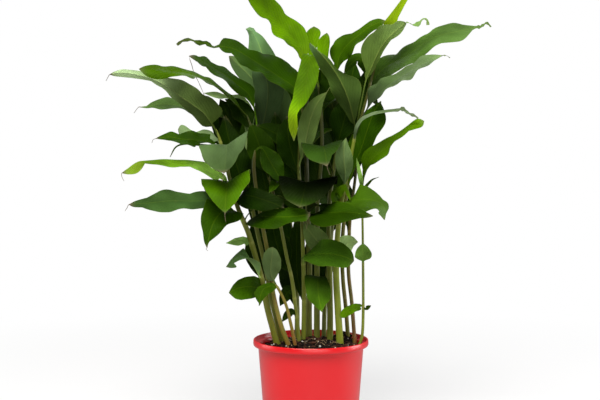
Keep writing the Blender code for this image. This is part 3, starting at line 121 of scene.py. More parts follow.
# Leaves: node, cane, blade width in mm, facing of the upper side at the base
# and at the tip, V fold in degrees, the shares of the length where the stalk
# ends and where the blade is widest, then places along the midrib. A leaf with
# its cane's name is one body with the cane.
LEAVES = [
    ("leaf_01", "cane_01", 34, (0.3, 0.8, 0.5), (0.1, 0.8, 0.5), 14, (0.06, 0.40),
     [(215, 127, -46), (210, 121, -50), (203, 112, -52), (192, 104, -50), (180, 96, -47), (168, 87, -43),
      (154, 79.5, -38), (139, 75, -32), (122, 72.5, -26), (110, 74.5, -22)]),
    ("leaf_02", "cane_05", 22, (0.1, -0.5, 1), (0, -1.0, 0.9), 12, (0.06, 0.55),
     [(243, 107, 16), (228, 96, -4), (215, 86, -20), (200, 77.5, -36), (185, 73, -50), (170, 71, -62),
      (155, 68, -72), (139, 69, -78)]),
    ("leaf_03", "cane_05", 32, (0.4, -0.75, 0.8), (0.3, -0.75, 0.9), 12, (0.28, 0.60),
     [(257, 140, 12), (256, 118, 22), (250, 96, 26), (238, 85, 20), (224, 74.5, 12), (210, 66, 4),
      (199, 60, -4), (189, 56, -8)]),
    ("leaf_04", "cane_06", 42, (0.4, -0.85, 0.75), (0.2, -0.9, 0.8), 13, (0.06, 0.50),
     [(300, 101, -12), (294, 88, -17), (284, 80, -22), (272, 72, -28), (261, 65, -34), (247, 56, -41),
      (234, 49, -47), (219, 46, -52)]),
    ("leaf_05", "cane_02", 34, (0, -0.55, 0.9), (0, -0.75, 0.8), 14, (0.06, 0.40),
     [(226, 118, 25), (213, 115, 22), (199, 111, 16), (185, 107, 10), (172, 104.5, 4), (158, 104.5, 1),
      (148, 106.7, -2), (139, 107, -4)]),
    ("leaf_06", "cane_01", 22, (0, -0.6, 0.9), (0, -0.75, 0.8), 14, (0.06, 0.45),
     [(223, 151, -44), (212, 143, -56), (200, 140.5, -64), (185, 139.5, -70), (170, 137, -74), (156, 138.5, -76)]),
    ("leaf_07", "cane_01", 76, (-0.3, -0.3, 1), (-0.2, -0.6, 0.8), 14, (0.06, 0.48),
     [(228, 160, -43), (228, 149, -66), (227, 145, -92), (226, 156, -116), (224, 173, -130)]),
    ("leaf_08", "cane_01", 73, (-0.2, -0.3, 1), (-0.15, -0.6, 0.8), 16, (0.06, 0.45),
     [(233, 192, -38), (230, 184, -62), (228, 182, -90), (226, 195, -112), (225, 214, -124)]),
    ("leaf_09", "cane_01", 36, (0, -0.8, 0.6), (0, -0.75, 0.6), 10, (0.06, 0.50),
     [(240, 213, -34), (220, 204, -48), (205, 201, -58), (190, 201, -64), (170, 201, -70), (150, 203, -74),
      (129, 204.5, -76)]),
    ("leaf_10", "cane_01", 18, (0.3, -0.7, 0.8), (-0.2, -0.8, 0.7), 14, (0.06, 0.45),
     [(230, 184, -39), (219, 177, -46), (209, 172, -52), (200, 167, -57), (188, 163, -62), (170, 163.5, -70),
      (155, 161.7, -75), (144, 162, -78), (137, 166, -79), (130, 170.5, -80), (122, 173, -82)]),
    ("leaf_11", "cane_01", 48, (0.3, -0.35, 1), (0.3, -0.8, 0.8), 14, (0.06, 0.45),
     [(243, 220, -30), (232, 211, -52), (221, 213, -76), (212, 226, -94), (207, 248, -102)]),
    ("leaf_12", "cane_01", 38, (0.3, -0.35, 1), (-0.5, -0.6, 0.8), 14, (0.06, 0.50),
     [(261, 277, -15), (253, 264, -28), (244, 256, -40), (235, 258, -48), (226, 267, -52)]),
    ("leaf_13", "cane_01", 36, (0, -1, 0.3), (0, -1, 0.3), 10, (0.06, 0.50),
     [(263, 289, -13), (254, 287, -26), (244, 287, -34), (236, 289, -40), (229, 293, -44)]),
    ("leaf_14", "cane_07", 50, (0.35, -0.9, 0.45), (0.3, -0.95, 0.3), 12, (0.06, 0.55),
     [(305, 58, 17), (300, 46, 8), (290, 34, -2), (279, 23, -12), (269, 12, -20), (260, -2, -26), (252, -19, -30),
      (246, -36, -30)]),
    ("leaf_15", "cane_02", 44, (0.1, 0.9, 0.2), (0.3, 0.9, 0.2), 14, (0.06, 0.62),
     [(247, 184, 16), (262, 130, 40), (268, 95, 48), (266, 76, 48), (263, 58, 44), (258, 42, 36), (251, 31, 28),
      (246, 29, 22)]),
    ("leaf_16", "cane_08", 34, (-0.1, -0.2, 1), (0.2, -1, 0.3), 10, (0.10, 0.45),
     [(315, 74, 2), (314, 63, -8), (312, 56, -20), (310, 56, -33), (309, 66, -44), (305, 86, -53), (298, 105, -57),
      (293.5, 121, -59), (294, 141, -60)]),
    ("leaf_17", "cane_10", 50, (0.5, 0.75, 0.5), (0.4, 0.8, 0.5), 18, (0.06, 0.45),
     [(355, 123, -34), (350, 104, -44), (343, 86, -54), (334, 70, -62), (322, 55, -68), (310, 43, -72)]),
    ("leaf_18", "cane_09", 38, (-0.3, -0.75, 0.55), (-0.3, -0.8, 0.5), 14, (0.06, 0.45),
     [(336, 73, 8), (338, 61, 2), (343, 50, -4), (350, 42, -10), (360, 34, -16), (371, 26, -22), (385, 20.5, -26)]),
    ("leaf_19", "cane_10", 38, (-0.5, 0.85, 0.35), (-0.3, 0.85, 0.5), 20, (0.42, 0.72),
     [(357, 124, -32), (361, 103, -20), (366, 80, -16), (372, 66, -17), (380, 49, -22), (390, 36, -28),
      (405, 23, -34)]),
    ("leaf_20", "cane_11", 26, (-0.4, -0.8, 0.3), (-0.4, -0.8, 0.3), 24, (0.03, 0.30),
     [(387, 36, 1), (388.5, 28, -2), (391, 21, -4), (399, 7, -6), (406, -7, -8), (412, -20, -8), (416, -30, -8)]),
    ("leaf_21", "cane_12", 40, (-0.3, -0.6, 0.8), (-0.1, -0.9, 0.6), 14, (0.06, 0.60),
     [(363, 99, 30), (372, 82, 32), (384, 68, 26), (398, 60, 16), (412, 52, 6), (424, 43, -4), (438, 36, -12),
      (455, 32, -18), (478, 27, -24)]),
    ("leaf_22", "cane_10", 32, (-0.5, -0.3, 0.7), (-0.3, -0.55, 0.8), 14, (0.20, 0.55),
     [(356, 132, -32), (365, 112, -42), (376, 97, -50), (387, 86, -56), (400, 77, -60), (416, 67.5, -62),
      (430, 60, -62), (443, 55.5, -62)]),
    ("leaf_23", "cane_11", 46, (-0.35, -0.9, 0.25), (-0.3, -0.9, 0.2), 12, (0.06, 0.55),
     [(348, 186, 24), (355, 165, 10), (362, 146, -2), (368, 128, -8), (374, 112, -12), (381, 101, -14)]),
    ("leaf_24", "cane_13", 31, (-0.4, -0.75, 0.6), (-0.2, -0.8, 0.6), 12, (0.10, 0.33),
     [(362.5, 188, 0), (364, 176, -4), (368, 164, -8), (376, 155, -12), (386, 148, -15), (397, 139, -19),
      (409, 130, -23), (424, 121, -27)]),
    ("leaf_25", "cane_10", 56, (0.1, -0.55, 0.8), (0.5, -0.8, 0.3), 10, (0.04, 0.42),
     [(341, 207, -21), (343, 203, -36), (351, 200.5, -52), (364, 199.5, -64), (377, 201.5, -74), (384.5, 208, -80),
      (384.5, 220, -82)]),
    ("leaf_26", "cane_08", 40, (0, -0.35, 1), (0.1, -0.75, 0.7), 10, (0.12, 0.45),
     [(318, 220, 24), (312, 216, -2), (314, 214, -26), (326, 213, -46), (342, 212, -60), (357, 213, -70),
      (373, 216, -76)]),
    ("leaf_27", "cane_09", 58, (-0.15, -0.3, 1), (-0.1, -0.6, 0.8), 12, (0.06, 0.50),
     [(333, 172, 12), (326, 154, -24), (323, 146, -58), (325, 152, -84), (327, 166, -100)]),
    ("leaf_28", "cane_06", 78, (0.05, -0.5, 1), (0, -0.7, 0.7), 10, (0.06, 0.50),
     [(301, 202, 2), (305, 188, -30), (306, 182, -58), (304, 192, -82), (300, 207, -94)]),
    ("leaf_29", "cane_01", 34, (-0.3, -0.6, 0.8), (0, -0.85, 0.5), 8, (0.05, 0.45),
     [(246, 224, -30), (252, 219, -44), (262, 217, -56), (275, 217, -65), (288, 217, -71), (300, 216, -75),
      (310, 214, -77)]),
    ("leaf_30", "cane_01", 42, (-0.3, -0.6, 0.8), (0, -0.9, 0.5), 10, (0.06, 0.50),
     [(236, 202, -36), (241, 196, -46), (250, 196, -54), (261, 199, -58), (273, 203, -60), (284, 208, -62)]),
    ("leaf_31", "cane_06", 42, (-0.2, -0.4, 1), (0.2, -1, 0.4), 6, (0.10, 0.50),
     [(303.5, 264, 12), (303, 258, -8), (307, 254, -26), (317, 254, -38), (330, 254, -46), (342, 256, -52),
      (354, 261, -54)]),
    ("leaf_32", "cane_08", 38, (0, -0.1, 1), (0, -1, 0.1), 8, (0.06, 0.45),
     [(317, 284, 26), (318, 277, 4), (318, 279, -14), (318, 288, -24), (319, 299, -28), (322, 312, -28)]),
    ("leaf_33", "cane_06", 30, (-0.2, 1, 0.15), (-0.2, 1, 0.15), 12, (0.06, 0.55),
     [(300, 165, -6), (304, 150, -22), (307, 134, -28), (311, 117, -32), (318, 102, -34), (327, 92, -36)]),
    # small leaves low on the canes
    ("leaf_34", "cane_01", 16, (0, -0.8, 0.6), (0, -0.8, 0.6), 24, (0.06, 0.35),
     [(249, 243, -23), (242, 240, -32), (234, 241, -38), (226, 243, -41)]),
    ("leaf_35", "cane_04", 20, (0.2, -0.8, 0.5), (0.1, -0.9, 0.4), 14, (0.06, 0.45),
     [(277, 287, -25), (270, 286, -34), (263, 290, -40), (260, 298, -44), (259, 306, -46)]),
    ("leaf_36", "cane_04", 28, (0.1, 1, 0.25), (0.1, 1, 0.2), 10, (0.06, 0.50),
     [(272, 283, -26), (271, 274, -28), (271, 264, -30), (272, 255, -31), (272.5, 247, -31)]),
    ("leaf_37", "cane_13", 26, (0, -1, 0.15), (0, -1, 0.1), 16, (0.06, 0.45),
     [(363, 263, 1), (363, 256, -5), (363, 250, -8), (363, 243, -9)]),
    ("leaf_38", "cane_13", 13, (0, -0.8, 0.6), (0, -0.8, 0.6), 12, (0.06, 0.45),
     [(363, 306, 0), (356, 307.5, -8), (349, 310, -14), (340, 317, -18)]),
    # small leaves at the top
    ("leaf_39", "cane_08", 20, (0.2, -1, 0.1), (0.2, -1, 0.1), 14, (0.06, 0.60),
     [(318, 86, 6), (315, 66, 18), (313, 50, 24), (313, 38, 24), (314, 26.5, 22)]),
    ("leaf_40", "cane_09", 18, (0.1, -1, 0.1), (0.1, -1, 0.1), 22, (0.06, 0.60),
     [(337, 90, 9), (328, 72, 0), (324, 56, -4), (324, 44, -6), (327, 33, -8)]),
    ("leaf_41", "cane_11", 22, (-0.2, -0.9, 0.5), (-0.2, -0.9, 0.5), 12, (0.06, 0.50),
     [(370, 84, 13), (366, 66, 20), (358, 59, 24), (350, 65, 26), (344, 74, 26)]),
    ("leaf_42", "cane_02", 14, (0, 0.5, 1), (0, 0.4, 1), 12, (0.06, 0.50),
     [(243, 163, 18), (249, 125, 36), (246, 105, 44), (234, 98.5, 44), (219, 96, 42), (204, 93, 40)]),
    ("leaf_43", "cane_10", 9, (-0.2, -0.3, 1), (0, -0.3, 1), 10, (0.10, 0.40),
     [(354.2, 139, -31), (356, 129, -40), (361, 120, -42), (371, 114.5, -44), (384, 111.5, -46), (398, 110, -46)]),
    # leaves inside the clump
    ("cane_10", "cane_10", 26, (0, 1, 0.1), (0, 1, 0.1), 12, (0.06, 0.60),
     [(345, 187, -24), (345, 173, -40), (344, 160, -46), (344, 148, -50), (346, 138, -52)]),
    ("cane_03", "cane_03", 34, (0.4, -0.85, 0.4), (0.3, -0.9, 0.3), 10, (0.06, 0.50),
     [(255, 146, -32), (262, 148, -44), (268, 158, -50), (275, 170, -53), (283, 183, -54)]),
    ("cane_07", "cane_07", 40, (0.2, -0.75, 0.7), (0.2, -0.75, 0.6), 12, (0.06, 0.50),
     [(306.5, 165, 28), (294, 150, 22), (282, 138, 18), (269, 130, 16), (256, 125, 16)]),
    ("cane_10", "cane_10", 30, (-0.1, 1, 0.15), (0.1, 1, 0.15), 10, (0.06, 0.50),
     [(337, 252, -13), (342, 248, 4), (347, 244, 10), (352, 242, 12), (358, 242, 13)]),
    ("cane_09", "cane_09", 34, (0.2, 1, 0.2), (0.2, 1, 0.2), 10, (0.06, 0.50),
     [(329.5, 255, 14), (322, 246, 0), (315, 238, -6), (309, 230, -9), (304, 222, -10)]),
    ("cane_05", "cane_05", 42, (0.3, -0.9, 0.3), (0.2, -0.9, 0.3), 10, (0.06, 0.50),
     [(281, 226, 2), (272, 205, -8), (266, 188, -10), (262, 170, -10), (262, 152, -8)]),
    ("cane_07", "cane_07", 44, (0.3, -0.9, 0.2), (0.2, -0.9, 0.2), 10, (0.06, 0.50),
     [(307, 195, 29), (296, 178, 22), (286, 160, 20), (278, 138, 22), (275, 112, 26)]),
    ("cane_09", "cane_09", 44, (-0.2, -0.9, 0.3), (-0.1, -0.9, 0.3), 10, (0.06, 0.50),
     [(330, 196, 14), (322, 184, 2), (316, 170, -2), (314, 152, 2), (318, 132, 6)]),
    ("cane_02", "cane_02", 46, (0.3, -0.8, 0.5), (0.3, -0.8, 0.5), 10, (0.06, 0.50),
     [(250, 200, 15), (240, 176, 8), (234, 156, 6), (228, 136, 8), (224, 116, 12)]),
    ("cane_14", "cane_14", 56, (0.3, -0.9, 0.3), (-0.1, -0.9, 0.4), 12, (0.06, 0.50),
     [(294, 262, 70), (283, 242, 62), (270, 222, 58), (257, 204, 57), (246, 190, 58)]),
    ("cane_14", "cane_14", 58, (0.3, -0.9, 0.3), (-0.1, -0.9, 0.4), 12, (0.06, 0.50),
     [(292, 240, 78), (279, 214, 72), (264, 190, 70), (249, 168, 70), (236, 150, 72)]),
    ("cane_07", "cane_07", 50, (0.3, -0.9, 0.3), (-0.1, -0.9, 0.4), 12, (0.06, 0.50),
     [(308, 225, 33), (298, 204, 44), (288, 184, 48), (279, 166, 50), (272, 150, 52)]),
    ("cane_14", "cane_14", 58, (0.3, -0.9, 0.3), (-0.1, -0.9, 0.4), 12, (0.06, 0.50),
     [(289, 212, 90), (277, 186, 85), (263, 160, 83), (250, 137, 83), (239, 118, 85)]),
    ("cane_14", "cane_14", 56, (0.2, 0.9, 0.3), (0.3, 0.9, 0.3), 12, (0.06, 0.45),
     [(286, 178, 102), (282, 150, 97), (276, 122, 94), (266, 98, 92), (250, 76, 92), (229, 56, 92)]),
    ("cane_14", "cane_14", 50, (-0.2, -0.9, 0.3), (-0.1, -0.9, 0.4), 12, (0.06, 0.50),
     [(282, 146, 115), (289, 124, 106), (294, 104, 102), (299, 86, 100), (303, 70, 100)]),
    ("cane_15", "cane_15", 56, (0.3, -0.9, 0.3), (0.1, -0.9, 0.4), 12, (0.06, 0.50),
     [(333, 256, 77), (322, 236, 66), (309, 218, 62), (296, 202, 60), (285, 190, 60)]),
    ("cane_15", "cane_15", 56, (0.3, -0.9, 0.3), (0.1, -0.9, 0.4), 12, (0.06, 0.50),
     [(335, 222, 89), (326, 196, 80), (316, 172, 76), (307, 150, 75), (299, 130, 76)]),
    ("cane_15", "cane_15", 54, (-0.2, -0.9, 0.3), (-0.2, -0.9, 0.4), 12, (0.06, 0.50),
     [(337, 198, 97), (343, 174, 88), (348, 152, 83), (352, 132, 82), (355, 114, 83)]),
    ("cane_15", "cane_15", 54, (0.2, -0.9, 0.3), (0.1, -0.9, 0.4), 12, (0.06, 0.50),
     [(339, 168, 107), (333, 144, 98), (326, 122, 94), (319, 102, 93), (313, 84, 94)]),
    ("cane_15", "cane_15", 48, (-0.2, -0.9, 0.3), (-0.2, -0.9, 0.4), 12, (0.06, 0.50),
     [(341, 130, 120), (345, 110, 110), (349, 92, 106), (352, 76, 105), (355, 62, 106)]),
    ("cane_12", "cane_12", 44, (-0.1, -0.9, 0.3), (0.1, -0.9, 0.4), 12, (0.06, 0.50),
     [(350, 232, 39), (345, 212, 50), (339, 194, 54), (333, 178, 56), (328, 163, 58)]),
    # leaves between the canes, darkened with painted shade
    ("cane_06", "cane_06", 44, (0.1, -0.9, 0.4), (0.1, -0.9, 0.3), 10, (0.06, 0.50),
     [(299.5, 178, -3), (296, 166, -16), (291, 150, -24), (288, 134, -28), (287, 116, -30)]),
    ("cane_08", "cane_08", 46, (0.1, -0.9, 0.4), (0.1, -0.9, 0.3), 10, (0.06, 0.50),
     [(319, 187, 22), (314, 171, 0), (309, 156, -10), (306, 142, -12), (305, 126, -13)]),
    ("cane_05", "cane_05", 44, (0.2, -0.9, 0.4), (0.2, -0.9, 0.3), 10, (0.06, 0.50),
     [(268.5, 178, 6), (266, 166, -4), (261, 151, -12), (256, 137, -16), (250, 123, -18)]),
    ("cane_09", "cane_09", 44, (-0.2, -0.9, 0.4), (-0.1, -0.9, 0.3), 10, (0.06, 0.50),
     [(337.5, 146, 14), (340, 135, 2), (344, 121, -4), (347, 108, -8), (349, 93, -10)]),
    ("cane_08", "cane_08", 38, (-0.2, -0.9, 0.4), (-0.1, -0.9, 0.3), 10, (0.06, 0.50),
     [(320.5, 106, 12), (324, 98, 6), (330, 90, 2), (336, 82, 0), (341, 71, -2)]),
    ("cane_05", "cane_05", 20, (0.1, -0.9, 0.3), (0.1, -0.9, 0.3), 10, (0.06, 0.45),
     [(295, 298, 2), (292, 291, 10), (288, 292, 14), (284, 298, 15), (280, 306, 15)]),
    ("cane_05", "cane_05", 12, (0.1, -0.9, 0.3), (0.1, -0.9, 0.3), 10, (0.06, 0.45),
     [(296.5, 316, 2), (292, 312, -6), (287, 315, -10), (282, 322, -12)]),
    ("cane_14", "cane_14", 38, (0.1, -0.9, 0.3), (0.1, -0.9, 0.3), 10, (0.06, 0.50),
     [(297, 308, 54), (293, 292, 62), (290, 276, 66), (288, 258, 68), (287, 238, 68)]),
    ("cane_07", "cane_07", 36, (-0.1, -0.9, 0.3), (-0.1, -0.9, 0.3), 10, (0.06, 0.50),
     [(309.2, 300, 38), (312, 286, 48), (314, 268, 52), (313, 250, 54), (311, 232, 54)]),
    ("cane_15", "cane_15", 36, (0, -0.9, 0.3), (0, -0.9, 0.3), 10, (0.06, 0.50),
     [(325, 302, 64), (322, 288, 74), (322, 270, 80), (324, 250, 84), (326, 232, 86)]),
    ("cane_14", "cane_14", 44, (0.1, -0.9, 0.3), (0.1, -0.9, 0.3), 10, (0.06, 0.50),
     [(294, 266, 69), (288, 256, 80), (279, 248, 84), (269, 241, 86), (257, 234, 86)]),
    ("cane_15", "cane_15", 44, (0.1, -0.9, 0.3), (0.1, -0.9, 0.3), 10, (0.06, 0.50),
     [(330, 279, 71), (322, 263, 84), (312, 249, 88), (303, 239, 90), (291, 231, 90)]),
    ("cane_05", "cane_05", 22, (-0.2, -0.5, 1), (-0.2, -0.7, 0.7), 10, (0.06, 0.45),
     [(270.5, 191, 5), (279, 183, -14), (277, 182, -30), (269, 193, -40)]),
    ("cane_10", "cane_10", 32, (0, -0.7, 0.7), (0, -0.8, 0.6), 10, (0.06, 0.50),
     [(341.5, 204, -21), (336, 199, -34), (335, 193, -42), (339, 188, -46), (347, 184, -48)]),
    # two small ones at the top of the slender cane
    ("cane_13", "cane_13", 7, (-0.3, -0.9, 0.3), (-0.3, -0.9, 0.3), 20, (0.06, 0.50),
     [(362, 192, 1), (361, 181, -3), (359, 170, -5), (356.5, 158, -6)]),
    ("cane_13", "cane_13", 6, (0, -0.4, 1), (0, -0.4, 1), 10, (0.06, 0.50),
     [(362, 199, 2), (366, 187, 6), (372, 180, 9), (379, 177, 10)]),
    ("cane_13", "cane_13", 7, (0, -0.8, 0.6), (0, -0.8, 0.6), 12, (0.06, 0.50),
     [(363, 308, 0), (366, 308.5, -5), (371, 305.5, -8)]),
    ("cane_02", "cane_02", 40, (0.1, -0.9, 0.3), (0.1, -0.9, 0.3), 10, (0.06, 0.50),
     [(268.5, 284, 17), (262, 272, 28), (258, 256, 34), (256, 240, 36), (252, 222, 36)]),
    ("cane_05", "cane_05", 40, (0.1, -0.9, 0.3), (0.1, -0.9, 0.3), 10, (0.06, 0.50),
     [(290.3, 274, 2), (284, 264, 16), (279, 251, 26), (275, 238, 30), (272, 222, 30)]),
    ("cane_06", "cane_06", 21, (0.1, -0.9, 0.3), (0.1, -0.9, 0.3), 10, (0.06, 0.50),
     [(303.7, 302, 17), (299.5, 288, 30), (297, 270, 37), (296.5, 252, 38), (297, 228, 38)]),
    ("cane_02", "cane_02", 36, (0.1, -0.8, 0.5), (0.1, -0.8, 0.5), 10, (0.06, 0.50),
     [(236.7, 141, 22), (233, 130, 36), (229, 119, 42), (225, 109, 44), (220, 99, 44)]),
    ("cane_01", "cane_01", 15, (0, -0.8, 0.7), (0, -0.8, 0.7), 10, (0.06, 0.62),
     [(220, 142, -45), (214, 136.5, -49), (205, 133, -51), (192, 132, -54), (178, 129.5, -58)]),
    ("cane_01", "cane_01", 6, (0, -0.8, 0.7), (0, -0.8, 0.7), 10, (0.06, 0.62),
     [(223, 150, -43), (213, 146, -50), (200, 145, -53), (186, 144, -57), (176, 147, -60), (170, 157, -62)]),
    ("cane_02", "cane_02", 42, (0.1, -0.8, 0.5), (0.1, -0.8, 0.5), 10, (0.06, 0.50),
     [(241.5, 156, 19), (233, 147, 0), (225, 135, -10), (219, 122, -16), (215, 108, -18)]),
    ("cane_05", "cane_05", 36, (0.2, -0.8, 0.5), (0.2, -0.8, 0.5), 10, (0.06, 0.50),
     [(252, 131, 15), (247, 122, 28), (242, 113, 34), (235, 105, 36), (225, 99, 36)]),
    ("cane_08", "cane_08", 18, (-0.1, -0.9, 0.3), (-0.1, -0.9, 0.3), 10, (0.06, 0.50),
     [(320, 99, 10), (322, 90, 18), (322, 79, 22), (321, 66, 22)]),
    ("cane_11", "cane_11", 26, (-0.1, -0.9, 0.3), (-0.1, -0.9, 0.3), 10, (0.06, 0.50),
     [(360.5, 122, 21), (358, 112, 32), (359, 100, 38), (362, 87, 40), (364, 72, 40)]),
    # leaves at the back of the clump
    ("cane_14", "cane_14", 54, (0, -0.8, 1), (0, 1, 0.8), 12, (0.06, 0.50),
     [(280, 114, 128), (277, 96, 140), (273, 84, 160), (270, 80, 184), (268, 86, 206), (267, 100, 222)]),
    ("cane_14", "cane_14", 56, (0.6, -0.6, 1), (-0.7, 0.5, 0.8), 12, (0.06, 0.50),
     [(284, 161, 110), (272, 148, 124), (258, 139, 140), (244, 136, 156), (232, 141, 170), (224, 152, 180)]),
    ("cane_14", "cane_14", 54, (0, -0.8, 1), (0, 1, 0.8), 12, (0.06, 0.50),
     [(295, 278, 66), (295, 258, 90), (297, 244, 118), (299, 238, 146), (300, 242, 170), (300, 254, 186)]),
    ("cane_15", "cane_15", 54, (0, -0.8, 1), (0, 1, 0.8), 12, (0.06, 0.50),
     [(341, 116, 125), (343, 98, 136), (345, 85, 154), (346, 79, 178), (347, 84, 202), (347, 96, 220)]),
    ("cane_15", "cane_15", 54, (-0.6, -0.6, 1), (0.7, 0.5, 0.8), 12, (0.06, 0.50),
     [(339, 172, 107), (348, 161, 122), (357, 155, 140), (364, 155, 158), (369, 162, 172)]),
    ("cane_15", "cane_15", 54, (0, -0.8, 1), (0, 1, 0.8), 12, (0.06, 0.50),
     [(331.5, 238, 83), (330, 228, 104), (329, 220, 126), (327, 217, 150), (325, 222, 174), (324, 234, 190)]),
    ("cane_07", "cane_07", 50, (0, -0.8, 1), (0, 0.9, 0.8), 12, (0.06, 0.50),
     [(307, 110, 27), (312, 96, 48), (317, 84, 74), (320, 78, 102), (322, 80, 130), (323, 88, 152)]),
    ("cane_12", "cane_12", 48, (0, -0.7, 1), (0, 0.9, 0.8), 12, (0.06, 0.50),
     [(352, 200, 42), (356, 189, 58), (359, 181, 78), (361, 180, 98), (361, 187, 118)]),
]


# Plain leaves that fill the clump, one body with each cane: for each leaf its
# height up the cane (share of its length), heading in degrees (0 is away from
# the front, 90 to the right), length and width in mm, and rise in degrees.
FILL = [
    ("cane_01", [(0.62, 20, 120, 40, 50), (0.90, -10, 110, 38, 40)]),
    ("cane_02", [(0.55, -10, 150, 46, 45), (0.66, 50, 140, 44, 55), (0.76, -20, 150, 46, 45),
                                     (0.86, 15, 150, 44, 40), (0.94, 70, 120, 40, 50)]),
    ("cane_03", [(0.55, 20, 110, 42, 50), (0.78, 40, 110, 42, 50)]),
    ("cane_05", [(0.60, 15, 150, 46, 50), (0.72, -30, 140, 44, 45), (0.84, 40, 150, 46, 50),
                                     (0.93, 0, 140, 42, 45)]),
    ("cane_06", [(0.62, -25, 130, 46, 50), (0.80, 20, 130, 44, 50)]),
    ("cane_07", [(0.50, 0, 150, 50, 50), (0.60, -40, 150, 48, 50), (0.70, 30, 150, 48, 50),
                                     (0.80, -25, 150, 48, 45), (0.88, 25, 140, 46, 45)]),
    ("cane_08", [(0.52, 20, 150, 48, 50), (0.64, -20, 150, 46, 50), (0.76, 35, 150, 46, 45),
                                      (0.86, 0, 140, 44, 45)]),
    ("cane_09", [(0.55, 40, 140, 46, 50), (0.66, 0, 150, 46, 50), (0.78, 50, 130, 44, 50),
                                      (0.88, 15, 140, 42, 45)]),
    ("cane_10", [(0.58, -10, 110, 42, 55), (0.80, 30, 110, 40, 50)]),
    ("cane_11", [(0.48, 10, 140, 44, 50), (0.60, -15, 140, 44, 50), (0.70, 25, 130, 42, 45),
                                      (0.80, -10, 130, 42, 40), (0.88, 30, 120, 38, 40)]),
    ("cane_12", [(0.55, 20, 140, 44, 50), (0.80, 5, 140, 44, 45), (0.92, 40, 120, 40, 40)]),
    ("cane_14", [(0.55, -50, 140, 48, 45), (0.75, 20, 150, 48, 40), (0.88, -60, 150, 46, 35)]),
    ("cane_15", [(0.55, 45, 130, 46, 45), (0.75, -20, 150, 48, 40), (0.88, 40, 140, 44, 35)]),
]

# Where the clump is solid as seen from the front: v, then u from and to.
SOLID = [(56, 296, 345), (66, 282, 352), (76, 266, 366), (90, 250, 376), (104, 240, 380), (128, 218, 380),
         (142, 206, 372), (156, 212, 358), (168, 226, 348), (184, 230, 350), (214, 244, 350), (232, 254, 344),
         (262, 276, 342)]


# ------------------------------------------------------------------- helpers
def along(points, steps, sharp=6):
    """A smooth line through the places, resampled evenly."""
    pts = [points[0] * 2 - points[1]] + points + [points[-1] * 2 - points[-2]]
    line = []
    for i in range(1, len(pts) - 2):
        a, b, c, d = pts[i - 1:i + 3]
        for k in range(sharp):
            t = k / sharp
            line.append(0.5 * ((2 * b) + (c - a) * t + (2 * a - 5 * b + 4 * c - d) * t * t
                               + (3 * b - a - 3 * c + d) * t ** 3))
    line.append(points[-1].copy())
    run = [0.0]
    for p, q in zip(line, line[1:]):
        run.append(run[-1] + (q - p).length)
    out, j = [], 0
    for s in range(steps):
        want = run[-1] * s / (steps - 1)
        while j < len(run) - 2 and run[j + 1] < want:
            j += 1
        part = (want - run[j]) / max(run[j + 1] - run[j], 1e-9)
        out.append(line[j].lerp(line[j + 1], min(max(part, 0.0), 1.0)))
    return out, run[-1]


def soil_height(x, y):
    r = min(math.hypot(x, y) / 0.074, 1.0)
    return SOIL_EDGE + (SOIL_CROWN - SOIL_EDGE) * (1 - r * r)


def cane_line(places):
    pts = [spot(*p) for p in places]
    lean = (pts[1] - pts[0]).normalized()
    pts[0] = pts[0] + lean * ((soil_height(pts[0].x, pts[0].y) - pts[0].z) / lean.z)
    foot = pts[0] - lean * CANE_DEPTH
    return [foot] + pts


def tube(name, line, radii, sides=CANE_SIDES):
    """A closed tube along a line."""
    bm = bmesh.new()
    rings, side = [], Vector((1, 0, 0))
    for i, (p, r) in enumerate(zip(line, radii)):
        t = (line[min(i + 1, len(line) - 1)] - line[max(i - 1, 0)]).normalized()
        side = (side - t * side.dot(t)).normalized()
        other = t.cross(side)
        rings.append([bm.verts.new(p + (side * math.cos(a) + other * math.sin(a)) * r)
                      for a in (2 * math.pi * k / sides for k in range(sides))])
    for a, b in zip(rings, rings[1:]):
        for k in range(sides):
            bm.faces.new((a[k], a[(k + 1) % sides], b[(k + 1) % sides], b[k]))
    bm.faces.new(reversed(rings[0]))
    bm.faces.new(rings[-1])
    return finish_mesh(name, bm)


def finish_mesh(name, bm):
    mesh = bpy.data.meshes.new(name)
    bm.to_mesh(mesh)
    bm.free()
    return mesh


def width_at(t, shape):
    """Share of the full half width at t along the blade."""
    stalk, widest = shape
    if t <= stalk:
        return 0.0
    if t < widest:
        s = math.sin(0.5 * math.pi * (t - stalk) / (widest - stalk))
        return max(s ** 1.15, 0.0)
    s = math.cos(0.5 * math.pi * (t - widest) / (1 - widest))
    return max(s, 0.0) ** 0.85


